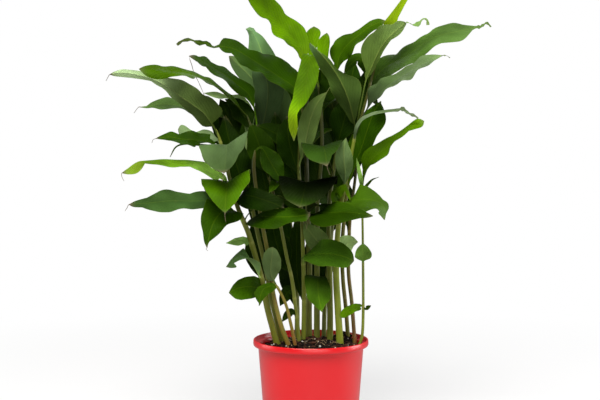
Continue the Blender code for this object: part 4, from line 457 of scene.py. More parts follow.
def blade_frames(leaf, push, steps):
    """Midrib points, side and up directions and half widths of a leaf."""
    node, cane, width, face0, face1, fold, shape, places = leaf
    root = spot(*places[0])
    joined = node == cane
    n = len(places) - 1
    pts = []
    for k, (u, v, y) in enumerate(places):
        ramp = min(k / n / 0.35, 1.0)
        pts.append(spot(u, v, y + push * ramp))
    line, radii = CANE_LINES[cane]
    best = min(range(len(line) - 1), key=lambda i: (closest(line[i], line[i + 1], root)[0] - root).length)
    hub, share = closest(line[best], line[best + 1], root)
    r = radii[best] + (radii[best + 1] - radii[best]) * share
    axis = (line[best + 1] - line[best]).normalized()
    way = pts[1] - hub
    if joined:
        out = (way - axis * way.dot(axis)).normalized()
        pts[0] = hub + out * (r - 0.0012)
    elif best == len(line) - 2 and share > 0.98:
        out = way.normalized()
        if out.dot(axis) < 0.2:
            out = (way - axis * (way.dot(axis) - way.length * 0.2)).normalized()
        pts[0] = hub + out * (r * 0.9 + 0.0016)
    else:
        out = (way - axis * way.dot(axis)).normalized()
        pts[0] = hub + out * (r + 0.0016)
    mid, length = along(pts, steps)
    frames = []
    for i, p in enumerate(mid):
        t = i / (steps - 1)
        run = (mid[min(i + 1, steps - 1)] - mid[max(i - 1, 0)]).normalized()
        up = Vector(face0).normalized().lerp(Vector(face1).normalized(), t)
        up = (up - run * up.dot(run)).normalized()
        side = run.cross(up)
        half = max(width * 0.0005 * width_at(t, shape), 0.0013 - 0.0007 * t)
        frames.append([p, side, up, half, t])
    # narrower where the blade turns sharply in its own plane
    for a, b in zip(frames, frames[1:]):
        step = b[0] - a[0]
        run_a, run_b = a[2].cross(a[1]), b[2].cross(b[1])
        turn = max(abs(run_b.dot(a[1])), abs(run_a.dot(b[1])), 0.001)
        limit = max(0.62 * step.length / turn, 0.0013)
        a[3], b[3] = min(a[3], limit), min(b[3], limit)
    return frames, math.radians(fold), length


def seen_at(p):
    """The place of a point, the other way round from spot."""
    away = p.y - EYE.y
    return (300 + (p.x - EYE.x) * FAR / away, 200 - (p.z - EYE.z) * FAR / away, p.y * 1000)


def in_clump(u, v, slack=0.0):
    if not SOLID[0][0] <= v <= SOLID[-1][0]:
        return False
    for (v0, a0, b0), (v1, a1, b1) in zip(SOLID, SOLID[1:]):
        if v <= v1:
            s = (v - v0) / (v1 - v0)
            return a0 + (a1 - a0) * s - slack <= u <= b0 + (b1 - b0) * s + slack
    return False


def fill_leaves():
    """For each plain leaf, entries like those in LEAVES to choose from."""
    out = []
    for cane, sites in FILL:
        line, radii = CANE_LINES[cane]
        for share, heading, length, width, rise in sites:
            at = share * (len(line) - 1)
            i = min(int(at), len(line) - 2)
            root = line[i].lerp(line[i + 1], at - i)
            choice = []
            for size in (1.0, 0.8):
                for turn in (0, 14, -14, 28, -28, 42, -42, 60, -60):
                    way = math.radians(heading + turn)
                    ahead = Vector((math.sin(way), math.cos(way), 0))
                    p, places = root.copy(), [seen_at(root)]
                    for k in range(5):
                        slope = math.radians(rise - (rise + 32) * (k / 4) ** 1.2)
                        step = ahead * math.cos(slope) + Vector((0, 0, math.sin(slope)))
                        p = p + step * length * size * 0.0002
                        places.append(seen_at(p))
                    if all(in_clump(u, v) for u, v, y in places[1:]):
                        choice.append((cane, cane, width * size, (-ahead.x * 0.7, -ahead.y * 0.7, 1),
                                       (ahead.x * 0.6, ahead.y * 0.6, 1), 12, (0.08, 0.5), places))
            if choice:
                out.append(choice)
    return out


def closest(a, b, p):
    run = b - a
    share = min(max((p - a).dot(run) / run.length_squared, 0.0), 1.0)
    return a + run * share, share


def blade(bm, leaf, push, grow=0.0, skip=0):
    """Adds a closed V-section blade to bm. grow thickens it all round, and
    skip leaves out the first rows."""
    steps = FILL_STATIONS if leaf not in LEAVES else STATIONS if leaf[0] != leaf[1] else STATIONS - 1
    frames, fold, length = blade_frames(leaf, push, steps)
    frames = frames[skip:]
    rows = []
    for p, side, up, half, t in frames:
        bend = fold * min(1.0, t * 4)
        lift = (half + grow) * math.sin(bend)
        out = (half + grow) * math.cos(bend)
        thick = BLADE * (1.0 - 0.35 * t) * 0.5 + grow
        rows.append([bm.verts.new(q) for q in (
            p - side * out + up * (lift + thick), p + up * thick, p + side * out + up * (lift + thick),
            p + side * out + up * (lift - thick), p - up * thick, p - side * out + up * (lift - thick))])
    # upper and under side are split along the same diagonals
    for a, b in zip(rows, rows[1:]):
        for face in ((a[0], a[1], b[1]), (a[0], b[1], b[0]), (a[4], a[5], b[4]), (a[5], b[5], b[4]),
                     (a[1], a[2], b[1]), (a[2], b[2], b[1]), (a[3], a[4], b[4]), (a[3], b[4], b[3]),
                     (a[2], a[3], b[3], b[2]), (a[5], a[0], b[0], b[5])):
            bm.faces.new(face)
    first, last = rows[0], rows[-1]
    bm.faces.new((first[5], first[4], first[1], first[0]))
    bm.faces.new((first[4], first[3], first[2], first[1]))
    bm.faces.new((last[0], last[1], last[4], last[5]))
    bm.faces.new((last[1], last[2], last[3], last[4]))


def tree_of(leaf, push, grow, skip=0):
    bm = bmesh.new()
    blade(bm, leaf, push, grow, skip)
    tree = BVHTree.FromBMesh(bm)
    bm.free()
    return tree


def clear_place(leaf, tries, placed, cane_trees):
    """The first push that leaves the blade clear of the others, with its tree."""
    for push in tries:
        loose = tree_of(leaf, push, 0.0006)
        if any(loose.overlap(t) for t in placed):
            continue
        if any(loose.overlap(t) for n, t in cane_trees.items() if n != leaf[1]):
            continue
        joined = leaf[0] == leaf[1]
        if tree_of(leaf, push, 0.0003 if joined else 0.0, 1 if joined else 0).overlap(cane_trees[leaf[1]]):
            continue
        return push, loose
    return None, None


def settle(cane_trees):
    """Every leaf with how far it moves along the line of sight to clear the
    canes and the leaves before it."""
    placed, out = [], []
    tries = [0]
    for step in range(1, 23):
        tries += [-6 * step, 6 * step]
    for leaf in LEAVES:
        push, tree = clear_place(leaf, tries, placed, cane_trees)
        if tree is None:
            print("no clear place for", leaf[0], leaf[7][0])
        else:
            placed.append(tree)
            out.append((leaf, push))
    for choice in fill_leaves():
        for leaf in choice:
            push, tree = clear_place(leaf, tries[:7], placed, cane_trees)
            if tree is not None:
                placed.append(tree)
                out.append((leaf, push))
                break
    return out


CANE_LINES = {}


def trace_canes():
    for name, r0, r1, places in CANES:
        pts = cane_line(places)
        rings = max(7, int(3 + (pts[-1] - pts[0]).length / 0.042))
        line, _ = along(pts, rings)
        radii = [0.001 * (r0 + (r1 - r0) * (i / (rings - 1)) ** 1.6) for i in range(rings)]
        CANE_LINES[name] = (line, radii)


# ------------------------------------------------------------- fine surfaces
ROWS = 56
PLAIN_ROWS = 30
TAIL_ROWS = 14
ACROSS = (0.0, 0.045, 0.11, 0.22, 0.36, 0.52, 0.68, 0.82, 0.93, 1.0)
PLAIN_ACROSS = (0.0, 0.07, 0.22, 0.45, 0.70, 0.90, 1.0)
SHEET = 0.00036
CANE_RINGS = 110
CANE_ROUND = 18
POT_ROUND = 160

# What sets each leaf apart. young: 0 an old dark leaf, 1 a young one, more is
# yellowish, or rows of (share, value). wave: sway of the margins in degrees, waves along the leaf, and the
# phase on the minus and plus side. face: the way that the upper side faces. half: (share of length, half width on the
# minus side, on the plus side) in mm. curl: (share, minus, plus) in degrees,
# upward. tail: the dry thread past the tip, (u, v, mm behind the tip), tailw
# its width in mm and crimp its crinkle in degrees. edge: places on the margins
# as seen from the front, once around the tip; the half widths follow them.
# The key for lightness tells how light the leaf is painted: its own tone together with painted light and painted shade
# where light falls on it or the clump shades it, 1 for a plain one, or rows of (share, value).
# The key for sheen gives a painted greyish sheen that stands in for the reflection of the bright surroundings, 0 to 1,
# or rows. crisp: how dry the tail is.
LOOK = {
    "leaf_01": dict(young=0.45, tone_and_painted_light=[(0, 0.3), (0.25, 0.48), (0.45, 1.2), (0.6, 2.4), (0.75, 2.9), (0.85, 3.0), (1, 3.2)],
                    painted_sheen=[(0, 0.1), (0.35, 0.3), (0.55, 0.75), (0.8, 0.9), (1, 1.0)], wave=(10, 3.2, 0.4, 2.0),
                    tail=[(108, 77, 2), (106, 81, 4)], tailw=1.2,
                    edge=[(226, 114), (218, 105), (212, 97), (204, 95), (199, 90), (190, 85), (182, 80), (169, 78),
                          (158, 74), (140, 71), (122, 69), (110, 73), (112, 76), (132, 78), (151, 81), (156, 85),
                          (162, 88), (166, 92), (170, 98), (180, 104), (186, 110), (194, 119), (204, 128), (212, 133)]),
    "leaf_02": dict(young=0.55, tone_and_painted_light=[(0, 0.45), (0.5, 0.7), (0.8, 0.8), (1, 0.9)], wave=(9, 4.0, 0.0, 1.2),
                    curl=[(0, 0, 0), (0.70, 0, 0), (0.80, -75, 0), (0.93, -75, 0), (1, -20, 0)],
                    edge=[(239, 103), (233, 97), (225, 90), (218, 84), (212, 79), (204, 77), (194, 71), (183, 69),
                          (172, 66), (163, 66), (156, 64), (148, 65), (141, 67), (138, 69), (141, 73), (147, 77),
                          (156, 80.5), (164, 81), (170, 78), (185, 76), (196, 80), (206, 83), (214, 88), (223, 94),
                          (230, 100), (238, 106)]),
    "leaf_03": dict(young=0.15, tone_and_painted_light=[(0, 2.2), (0.2, 1.4), (0.5, 0.7), (1, 0.78)], flat=0.25, wave=(16, 3.0, 1.0, 2.4), tailw=1.3, crimp=30,
                    tail=[(190, 60, -2), (192, 66, -2), (194, 73, 0), (198, 81, 2), (202, 90, 2), (205, 97, 2)],
                    edge=[(256, 92), (254, 85), (249, 84), (239, 79), (231, 73), (225, 67), (218, 66), (210, 62),
                          (206, 56), (199, 57), (194, 54), (190, 54), (188, 56), (191, 58), (198, 62), (201, 66),
                          (206, 66), (212, 73), (218, 78), (226, 84), (233, 89), (239, 94), (245, 97), (252, 106)]),
    "leaf_04": dict(young=0.15, tone_and_painted_light=[(0, 0.9), (0.5, 0.65), (1, 0.8)], flat=0.35, wave=(10, 4.0, 0.2, 1.9), tailw=8.5, crimp=38, crisp=0.05,
                    tail=[(215, 47.5, 0), (210, 46, 0), (206, 42.5, 0), (202, 43, 0), (198, 42.5, 1), (191, 40, 2),
                          (186, 40, 3), (182, 41, 4), (177, 45, 4)],
                    edge=[(301, 78), (298, 72), (294, 68), (287, 63), (278, 59), (270, 53), (262, 53), (249, 50),
                          (244, 45), (236, 40), (228, 39), (222, 38), (219, 41), (219, 50), (225, 53), (232, 53),
                          (236, 60), (239, 65), (247, 66), (254, 71), (260, 72), (267, 78), (272, 82), (281, 88),
                          (290, 92), (297, 98)]),
    "leaf_05": dict(young=0.35, tone_and_painted_light=[(0, 0.4), (0.35, 0.55), (0.5, 0.85), (1, 1.6)], painted_sheen=0.3,
                    wave=(9, 3.5, 0.5, 2.2), tail=[(137, 109, 0), (134, 113, 2)], tailw=1.0,
                    edge=[(222, 106), (215, 100), (200, 98), (190, 98), (178, 99), (168, 97.5), (157, 100),
                          (150, 103), (147, 106), (139, 107), (147, 108.5), (152, 107.7), (158, 108.5), (165, 109.5),
                          (172, 108.5), (178, 108.5), (184, 111), (190, 114), (197, 119), (204, 126), (212, 130),
                          (221, 131)]),
    "leaf_06": dict(young=0.12, tone_and_painted_light=[(0, 0.5), (0.5, 0.7), (1, 0.9)], wave=(12, 3.0, 0.9, 2.6), tail=[(153, 140, 0), (152, 143, 0)],
                    edge=[(222, 136), (212, 135), (203, 133), (187, 131), (179, 134), (171, 131), (163, 134),
                          (157, 137), (156, 138.5), (163, 139.5), (171, 140), (177, 144), (187, 144.5), (196, 146.5),
                          (209, 148), (222, 152)]),
    "leaf_07": dict(young=0.35, tone_and_painted_light=0.80, painted_sheen=[(0, 0.3), (0.6, 0.55), (1, 0.4)], wave=(7, 2.4, 0.4, 2.2),
                    tail=[(223, 178, 0), (222, 182, 0)],
                    edge=[(198, 140), (200, 150), (203, 157), (206, 163), (212, 168), (220, 173), (223, 175),
                          (225, 173), (232, 166), (236, 160), (238, 154), (243, 150), (244, 146), (248, 136),
                          (250, 130)]),
    "leaf_08": dict(young=0.38, tone_and_painted_light=1.3, wave=(9, 2.4, 0.2, 1.6), tail=[(225, 217, 0), (226, 222, 0)],
                    edge=[(200, 172), (202, 184), (206, 192), (212, 200), (219, 208), (225, 213), (228, 210),
                          (236, 203), (241, 195), (244, 189), (249, 182), (250, 176), (251, 168)]),
    "leaf_09": dict(young=0.20, tone_and_painted_light=[(0, 0.5), (0.3, 0.85), (1, 0.95)], painted_sheen=0.3, wave=(10, 4.0, 0.0, 1.0), tail=[(127, 208, 0), (125, 211, 0)], tailw=1.0,
                    edge=[(222, 196), (210, 191), (200, 190), (190, 194), (177, 192), (169, 189), (163, 190),
                          (156, 194), (147, 198), (134, 201), (129, 204.5), (132, 207), (142, 207), (150, 210),
                          (158, 212), (169, 213), (179, 210), (196, 208), (206, 209), (219, 210), (234, 216)]),
    "leaf_10": dict(young=[(0, 1.2), (0.3, 0.95), (0.7, 0.85), (0.85, 1.25), (1, 1.2)], tone_and_painted_light=[(0, 3.3), (0.3, 2.7), (0.5, 1.6), (0.7, 1.2), (0.85, 1.1), (1, 1.1)],
                    painted_sheen=[(0, 0.35), (0.35, 0.2), (0.5, 0.05), (0.7, 0.05), (1, 0.15)], wave=(12, 3.5, 0.6, 2.8), tail=[(122, 177, 0), (124, 181, 0)],
                    edge=[(228, 178), (220, 172), (212, 168), (206, 162), (187, 160), (163, 159), (144, 160.5),
                          (138, 161), (131, 166), (124, 171), (122, 173), (128, 174.5), (136, 174), (141, 171),
                          (145, 163), (153, 164), (171, 168), (180, 166), (190, 166), (200, 171), (209, 177),
                          (219, 182)]),
    "leaf_11": dict(young=0.15, tone_and_painted_light=[(0, 2.2), (0.4, 1.0), (0.6, 0.8), (1, 0.9)], wave=(12, 2.6, 1.2, 2.4), tail=[(206, 249, 0), (208, 251, 0)],
                    edge=[(206, 200), (203, 210), (201, 216), (201, 224), (203, 232), (204, 242), (207, 248),
                          (209, 242), (219, 234), (227, 226), (235, 222), (241, 219), (244, 212)]),
    "leaf_12": dict(young=0.25, tone_and_painted_light=[(0, 4.2), (0.5, 1.7), (1, 0.8)], painted_sheen=0.4, wave=(9, 2.2, 0.2, 1.8),
                    edge=[(260, 252), (256, 249), (250, 246), (243, 248), (236, 254), (230, 260), (226, 267),
                          (228, 269), (234, 268), (241, 268), (248, 271), (256, 276), (262, 278)]),
    "leaf_13": dict(young=0.2, tone_and_painted_light=[(0, 0.8), (0.5, 0.95), (1, 1.25)], wave=(6, 2.0, 0.3, 1.4),
                    edge=[(263, 282), (261, 279), (254, 276), (245, 277), (238, 280), (233, 285), (229, 292),
                          (230, 296), (234, 299), (241, 300), (250, 299), (256, 297), (262, 292)]),
    "leaf_14": dict(young=[(0, 1.3), (0.25, 1.0), (1, 0.9)], tone_and_painted_light=[(0, 1.9), (0.3, 1.25), (0.55, 0.85), (0.75, 0.62), (1, 0.55)], wave=(12, 3.2, 0.3, 1.7),
                    edge=[(300, 60), (298, 53), (294, 47), (285, 42), (278, 39), (272, 32), (271, 24), (267, 19),
                          (261, 19), (255, 14), (250, 7), (248, 0), (246, -12), (244, -26), (246, -37), (254, -28),
                          (266, -13), (275, 0), (281, 7), (285, 14), (291, 18), (297, 22), (303, 27), (306, 32),
                          (309, 44), (309, 56)]),
    "leaf_15": dict(young=0.16, tone_and_painted_light=[(0, 0.22), (0.68, 0.35), (0.79, 2.9), (1, 5.2)],
                    painted_sheen=[(0, 0.4), (0.6, 0.5), (1, 0.8)], wave=(8, 2.2, 0.4, 2.0),
                    edge=[(250, 66), (249, 58), (248, 50), (249, 43), (249, 34), (246, 31), (247, 27), (250, 26),
                          (254, 27), (256, 32), (262, 35), (267, 42), (272, 49), (275, 55), (282, 70)]),
    "leaf_16": dict(young=[(0, 0.85), (0.6, 0.9), (0.85, 1.25), (1, 1.3)], tone_and_painted_light=[(0, 0.8), (0.3, 0.95), (0.6, 1.05), (0.75, 1.5), (0.88, 0.8), (1, 0.7)], wave=(8, 2.5, 0.4, 1.2),
                    edge=[(301, 56), (301, 62), (298, 71), (297, 78), (294, 89), (293, 98), (290, 105), (288, 114),
                          (289, 130), (294, 141), (298, 130), (297, 114), (300, 109), (306, 104), (310, 96),
                          (314, 89), (317, 81), (319, 72), (316, 62), (316, 54)]),
    "leaf_17": dict(young=0.16, tone_and_painted_light=[(0, 0.25), (0.3, 0.6), (0.5, 1.4), (0.8, 1.0), (0.9, 1.5), (1, 2.6)], painted_sheen=[(0, 0.1), (0.8, 0.1), (1, 0.7)],
                    wave=(10, 2.8, 0.2, 2.0),
                    edge=[(352, 124), (346, 114), (338, 103), (332, 91), (326, 79), (319, 68), (315, 59), (311, 51),
                          (307, 44), (307, 42), (313, 45), (320, 52), (326, 56), (330, 59), (336, 68), (342, 72),
                          (347, 75), (355, 78), (359, 82), (361, 89), (360, 98), (358, 107), (356, 120)]),
    "leaf_18": dict(young=0.3, tone_and_painted_light=1.0, wave=(12, 3.0, 0.5, 2.1),
                    edge=[(334, 68), (334, 63), (331, 58), (329, 50), (334, 45), (337, 39), (343, 34), (352, 33),
                          (359, 29), (371, 20), (379, 18), (385, 20.5), (383, 25), (374, 31), (367, 36), (361, 42),
                          (357, 48), (353, 53), (347, 58), (340, 66)]),
    "leaf_19": dict(young=0.4, tone_and_painted_light=[(0, 0.25), (0.3, 0.45), (0.6, 1.25), (0.8, 1.9), (1, 2.3)], painted_sheen=[(0, 0), (0.4, 0.05), (1, 0.35)], flat=0.2, wave=(10, 2.6, 0.4, 2.4), tailw=8.0, crimp=34, crisp=0.05,
                    tail=[(408, 22.5, 0), (413, 25, 0), (418, 24, 1), (423, 19, 2), (427, 20, 2), (428, 25, 2)],
                    edge=[(364, 76), (366, 71), (362, 58), (361, 51), (362, 44), (367, 36), (374, 32), (381, 25),
                          (393, 25), (398, 20), (403, 20), (406, 24), (403, 31), (398, 36), (391, 40), (384, 50),
                          (377, 64), (370, 76)]),
    "leaf_20": dict(young=1.3, tone_and_painted_light=1.0, wave=(4, 2.0, 0.0, 0.5),
                    edge=[(382, 34), (384, 22), (395, 8), (401, 0), (409, -18), (415, -32), (421, -30), (415, -12),
                          (408, 0), (405, 5), (398, 17), (396, 25), (394, 34)]),
    "leaf_21": dict(flat=0.4, young=0.36, tone_and_painted_light=[(0, 0.7), (0.40, 0.75), (0.52, 0.85), (0.62, 1.15), (0.8, 1.25), (1, 1.5)], painted_sheen=[(0, 0.1), (0.55, 0.15), (1, 0.35)],
                    wave=(10, 3.4, 0.5, 2.0), tailw=5.5, crimp=30, crisp=0.05,
                    tail=[(480, 27, 0), (484, 24.5, 0), (487, 23, 0), (491, 27, 0)],
                    edge=[(364, 84), (368, 75), (375, 65), (381, 58), (388, 54), (396, 54), (401, 48), (410, 44),
                          (415, 42), (422, 37), (429, 34), (435, 28), (444, 25), (454, 23), (463, 25), (474, 26),
                          (478, 26.5), (474, 28.5), (469, 34), (463, 40), (452, 42), (442, 44), (435, 47), (425, 53),
                          (418, 61), (410, 66), (398, 71), (386, 78), (372, 92)]),
    "leaf_22": dict(young=0.42, tone_and_painted_light=[(0, 0.25), (0.3, 0.32), (0.45, 0.75), (0.8, 1.0), (1, 1.35)], painted_sheen=0.6, flat=0.5, wave=(10, 6.0, 0.6, 1.8), tailw=2.2, crimp=35, crisp=0.3, tail=[(447, 56, 0), (450, 58, 0)],
                    edge=[(366, 97), (376, 82), (386, 78), (396, 74), (405, 68), (415, 62), (422, 56), (430, 55),
                          (443, 55), (438, 59), (432, 63), (425, 67), (418, 70), (412, 76), (405, 82), (396, 84),
                          (389, 90), (383, 97), (374, 112)]),
    "leaf_23": dict(young=0.12, tone_and_painted_light=[(0, 1.0), (0.5, 1.2), (1, 1.9)], wave=(14, 2.4, 0.4, 2.0),
                    edge=[(343, 180), (343, 165), (346, 150), (352, 135), (359, 121), (367, 110), (374, 105), (379, 102),
                          (382, 104), (384, 109), (386, 116), (385, 124), (382, 131), (377, 137), (373, 144), (370, 151),
                          (363, 158), (357, 165), (352, 173), (347, 183)]),
    "leaf_24": dict(young=[(0, 0.5), (0.8, 0.6), (1, 1.1)], tone_and_painted_light=[(0, 0.75), (0.6, 0.9), (0.8, 1.2), (1, 1.5)], wave=(9, 3.2, 0.2, 2.3),
                    edge=[(363, 172), (362, 165), (362, 158), (364, 152), (370, 147), (380, 141), (392, 136), (400, 131),
                          (408, 125), (414, 120), (420, 117), (424, 118), (425, 122), (423, 127), (415, 129),
                          (405, 132), (397, 138), (390, 147), (388, 155), (380, 161), (370, 165), (367, 170),
                          (365, 176)]),
    "leaf_25": dict(young=0.38, tone_and_painted_light=[(0, 1.4), (0.3, 0.9), (0.6, 0.85), (1, 1.5)], painted_sheen=[(0, 0), (0.7, 0.05), (1, 0.4)], wave=(9, 2.6, 0.5, 2.2),
                    edge=[(331, 196), (333, 191), (337, 187), (343, 185), (352, 185), (360, 186), (368, 187), (375, 191),
                          (380, 196), (383, 200), (388, 203), (389, 208), (386, 214), (385, 221), (381, 216),
                          (376, 212), (373, 216), (366, 217), (358, 215), (352, 212), (347, 209), (342, 208)]),
    "leaf_26": dict(young=0.20, tone_and_painted_light=[(0, 0.3), (0.4, 0.42), (1, 0.72)], wave=(8, 3.0, 0.3, 1.9),
                    edge=[(311, 209), (316, 206), (325, 203), (335, 202), (347, 203), (358, 208), (368, 213),
                          (374, 216), (368, 218), (360, 218), (345, 221), (333, 225), (320, 226), (311, 223),
                          (309, 216)]),
    "leaf_27": dict(young=0.22, tone_and_painted_light=[(0, 0.2), (0.55, 0.32), (1, 0.75)], painted_sheen=0.1, wave=(8, 2.4, 0.4, 2.0),
                    tail=[(328, 170, 0), (330, 175, 0)],
                    edge=[(300, 142), (303, 149), (306, 156), (311, 161), (318, 163), (324, 165), (327, 167),
                          (329, 163), (332, 155), (338, 150), (340, 144), (345, 136)]),
    "leaf_28": dict(young=0.12, tone_and_painted_light=[(0, 0.02), (0.66, 0.03), (0.84, 0.12), (0.93, 0.4), (1, 0.9)], wave=(8, 2.0, 0.2, 1.6),
                    edge=[(279, 172), (279, 182), (281, 191), (286, 200), (292, 205), (300, 207.5), (310, 204),
                          (318, 200), (325, 195), (330, 189), (336, 182), (340, 174)]),
    "leaf_29": dict(young=0.15, tone_and_painted_light=[(0, 0.5), (0.5, 0.75), (0.8, 1.05), (1, 1.2)], wave=(9, 3.4, 0.3, 2.2), tail=[(308, 222, 0), (306, 229, 0)],
                    edge=[(249, 220), (258, 214), (270, 210), (285, 208.5), (300, 208), (307, 210), (310, 215),
                          (308, 220), (303, 222), (298, 221), (285, 225), (275, 229), (262, 230), (252, 227),
                          (246, 224)]),
    "leaf_30": dict(young=0.05, tone_and_painted_light=0.32, wave=(9, 2.6, 0.4, 2.0),
                    edge=[(240, 190), (250, 187), (262, 190), (274, 195), (285, 201), (284, 206), (274, 209),
                          (262, 211), (250, 211), (241, 206)]),
    "leaf_31": dict(young=0.25, tone_and_painted_light=1.6, painted_sheen=0.05, wave=(6, 2.0, 0.4, 2.0),
                    edge=[(303, 256), (305, 250), (309, 245), (315, 242), (324, 240), (334, 240), (343, 243),
                          (350, 249), (353.5, 254), (354.5, 262), (353, 267), (345, 268), (333, 267), (320, 266),
                          (311, 263), (305, 260)]),
    "leaf_32": dict(young=0.28, painted_sheen=0.03, tone_and_painted_light=[(0, 0.2), (0.3, 0.32), (0.6, 0.7), (0.8, 1.6), (1, 2.6)], wave=(6, 2.2, 0.4, 2.0),
                    edge=[(305, 284), (306, 290), (307, 298), (312, 303), (318, 309), (322, 312), (325, 305),
                          (330, 300), (331, 292), (329.5, 285), (325, 276)]),
    "leaf_33": dict(young=0.5, tone_and_painted_light=1.0, painted_sheen=0.3, wave=(8, 2.2, 0.2, 1.4), tailw=1.0, crisp=0.3,
                    tail=[(330, 87, 0), (334, 82, 0), (339, 79, 0), (343, 82, 0), (344, 87, 0)]),
    "leaf_34": dict(young=0.6, tone_and_painted_light=[(0, 1.9), (1, 3.4)], painted_sheen=0.4, wave=(8, 2.0, 0.4, 2.0),
                    edge=[(249, 238), (243, 236.5), (235, 238), (226, 243), (238, 246), (248, 245)]),
    "leaf_35": dict(young=0.25, tone_and_painted_light=0.85, wave=(8, 2.0, 0.4, 2.0),
                    edge=[(277, 284), (271, 282.5), (265, 283.5), (258, 287), (254, 293), (256, 299), (260, 305),
                          (264, 298), (270, 293), (276, 289)]),
    "leaf_36": dict(young=0.38, tone_and_painted_light=[(0, 0.8), (0.6, 0.95), (1, 1.6)], painted_sheen=0.5, wave=(5, 2.0, 0.4, 2.0),
                    edge=[(272, 284), (267, 279), (264, 272), (262, 262), (264, 253), (268, 248.5), (272.5, 246),
                          (277, 250), (281, 259), (281, 268), (277, 276), (272, 284)]),
    "leaf_37": dict(young=0.6, tone_and_painted_light=[(0, 1.5), (1, 2.2)], painted_sheen=0.2, wave=(10, 2.0, 0.4, 2.0)),
    "leaf_38": dict(young=0.75, tone_and_painted_light=1.1, wave=(8, 2.2, 0.4, 2.0),
                    edge=[(363, 304), (355, 303.5), (347, 306), (342, 310), (339, 316), (340, 318), (344, 318),
                          (350, 315), (357, 311), (362, 309)]),
    "leaf_39": dict(young=1.0, tone_and_painted_light=1.3, wave=(8, 2.0, 0.4, 2.0),
                    edge=[(308, 50), (306, 42), (306, 33), (310, 28), (314, 27), (319, 27), (321, 33), (319, 39),
                          (316, 50)]),
    "leaf_40": dict(young=0.9, tone_and_painted_light=1.6, wave=(8, 2.0, 0.4, 2.0),
                    edge=[(319, 66), (320, 56), (317, 50), (317, 42), (321, 37), (326, 33), (329, 34), (330, 42),
                          (329, 50), (328, 58), (329, 68)]),
    "leaf_41": dict(young=0.25, tone_and_painted_light=0.95, wave=(10, 2.0, 0.4, 2.0)),
    "leaf_42": dict(young=0.35, tone_and_painted_light=[(0, 1.6), (0.5, 2.3), (1, 6.0)], painted_sheen=0.5, wave=(8, 2.0, 0.4, 2.0),
                    edge=[(246, 98), (240, 94.5), (232, 95), (222, 94), (218, 91.5), (212, 91.5), (204, 93),
                          (212, 97), (219, 99), (226, 101), (236, 102.5), (244, 106)]),
    "leaf_43": dict(face=(0, -1, 0.45), young=0.5, tone_and_painted_light=[(0, 0.55), (0.5, 0.95), (1, 1.25)], painted_sheen=1.0, wave=(14, 5.0, 0.4, 2.0), tailw=6.5, crimp=36, crisp=0.1,
                    half=[(0, 1.3, 1.3), (0.3, 2.6, 2.6), (0.7, 2.3, 2.3), (1, 2.2, 2.2)],
                    tail=[(403, 109, 0), (408, 113, 0), (415, 116, 0), (418, 118.5, 0)]),
    "cane_10@346": dict(young=0.3, tone_and_painted_light=1.1, painted_sheen=0.5),
    "cane_10@358": dict(young=0.45, tone_and_painted_light=3.4, painted_sheen=0.7),
    "cane_09@304": dict(young=0.45, tone_and_painted_light=1.1, painted_sheen=0.3),
    "cane_14@229": dict(young=0.2, tone_and_painted_light=[(0, 0.4), (0.5, 0.5), (0.7, 1.0), (1, 1.4)], painted_sheen=[(0, 0.2), (1, 0.5)],
                        edge=[(262, 110), (252, 96), (246, 86), (238, 78), (231, 66), (228, 57), (228, 54), (232, 54),
                              (240, 60), (250, 68), (262, 80), (275, 84), (288, 92), (291, 101), (289, 115),
                              (285, 130)]),
    # two leaves between the canes, painted dark: painted shade
    "cane_06@297": dict(young=0.1, tone_and_painted_light=0.35, tail=[(297.5, 222, 0), (298, 214, 0)], tailw=15, crisp=0.0,
                        half=[(0, 1.2, 1.2), (0.1, 3, 3), (0.35, 9, 9), (0.7, 11.5, 11.5), (0.92, 10, 10), (1, 7.5, 7.5)]),
    "cane_14@287": dict(young=0.1, tone_and_painted_light=0.3,
                        half=[(0, 1.2, 1.2), (0.15, 8, 8), (0.4, 18, 18), (0.7, 19, 19), (0.92, 13, 13), (1, 2, 2)]),
    "cane_13@356.5": dict(young=0.95, tone_and_painted_light=2.2, painted_sheen=0.4),
    "cane_01@178": dict(young=0.4, tone_and_painted_light=1.15, painted_sheen=0.85, wave=(6, 5.0, 0.4, 2.0),
                        edge=[(216, 138), (213, 132), (208, 129.5), (203, 129), (199, 131), (196, 132), (191, 130),
                              (187, 127), (183, 125), (178, 125), (174, 128), (170, 131), (174, 134), (185, 137),
                              (200, 138), (215, 142)]),
    "cane_01@170": dict(young=0.05, tone_and_painted_light=0.6, half=[(0, 1.5, 1.5), (0.5, 2.2, 2.2), (0.8, 1.4, 1.4), (1, 0.4, 0.4)]),
    "cane_05@269": dict(young=0.25, tone_and_painted_light=0.8),
    "cane_10@347": dict(young=0.50, tone_and_painted_light=0.95,
                        edge=[(345, 206), (341, 206), (334, 204), (330, 197), (332, 191), (337, 187), (343, 184.5),
                              (349, 184), (353, 190), (352, 198), (348, 204)]),
    "cane_13@371": dict(young=0.6),
    "cane_13@379": dict(young=0.2, tone_and_painted_light=0.8),
}

# How yellow and how reddish the canes are, at the foot and higher up.
CANE_LOOK = {
    "cane_01": (0.45, 0.25), "cane_02": (0.35, 0.15), "cane_03": (0.55, 0.75), "cane_04": (0.65, 0.85),
    "cane_05": (0.35, 0.15), "cane_06": (0.55, 0.10), "cane_07": (0.25, 0.20), "cane_08": (0.30, 0.15),
    "cane_09": (0.45, 0.10), "cane_10": (0.85, 0.00), "cane_11": (0.30, 0.60), "cane_12": (0.20, 0.95),
    "cane_13": (0.70, 0.05), "cane_14": (0.30, 0.15), "cane_15": (0.30, 0.15),
}


# Canes whose upper part is open to the light, and how far the painted shade of the foliage above still darkens it; the
# other canes take all of it.
BARE_TOP = {"cane_01": 0.1, "cane_10": 0.35, "cane_13": 0.0, "cane_11": 0.7}


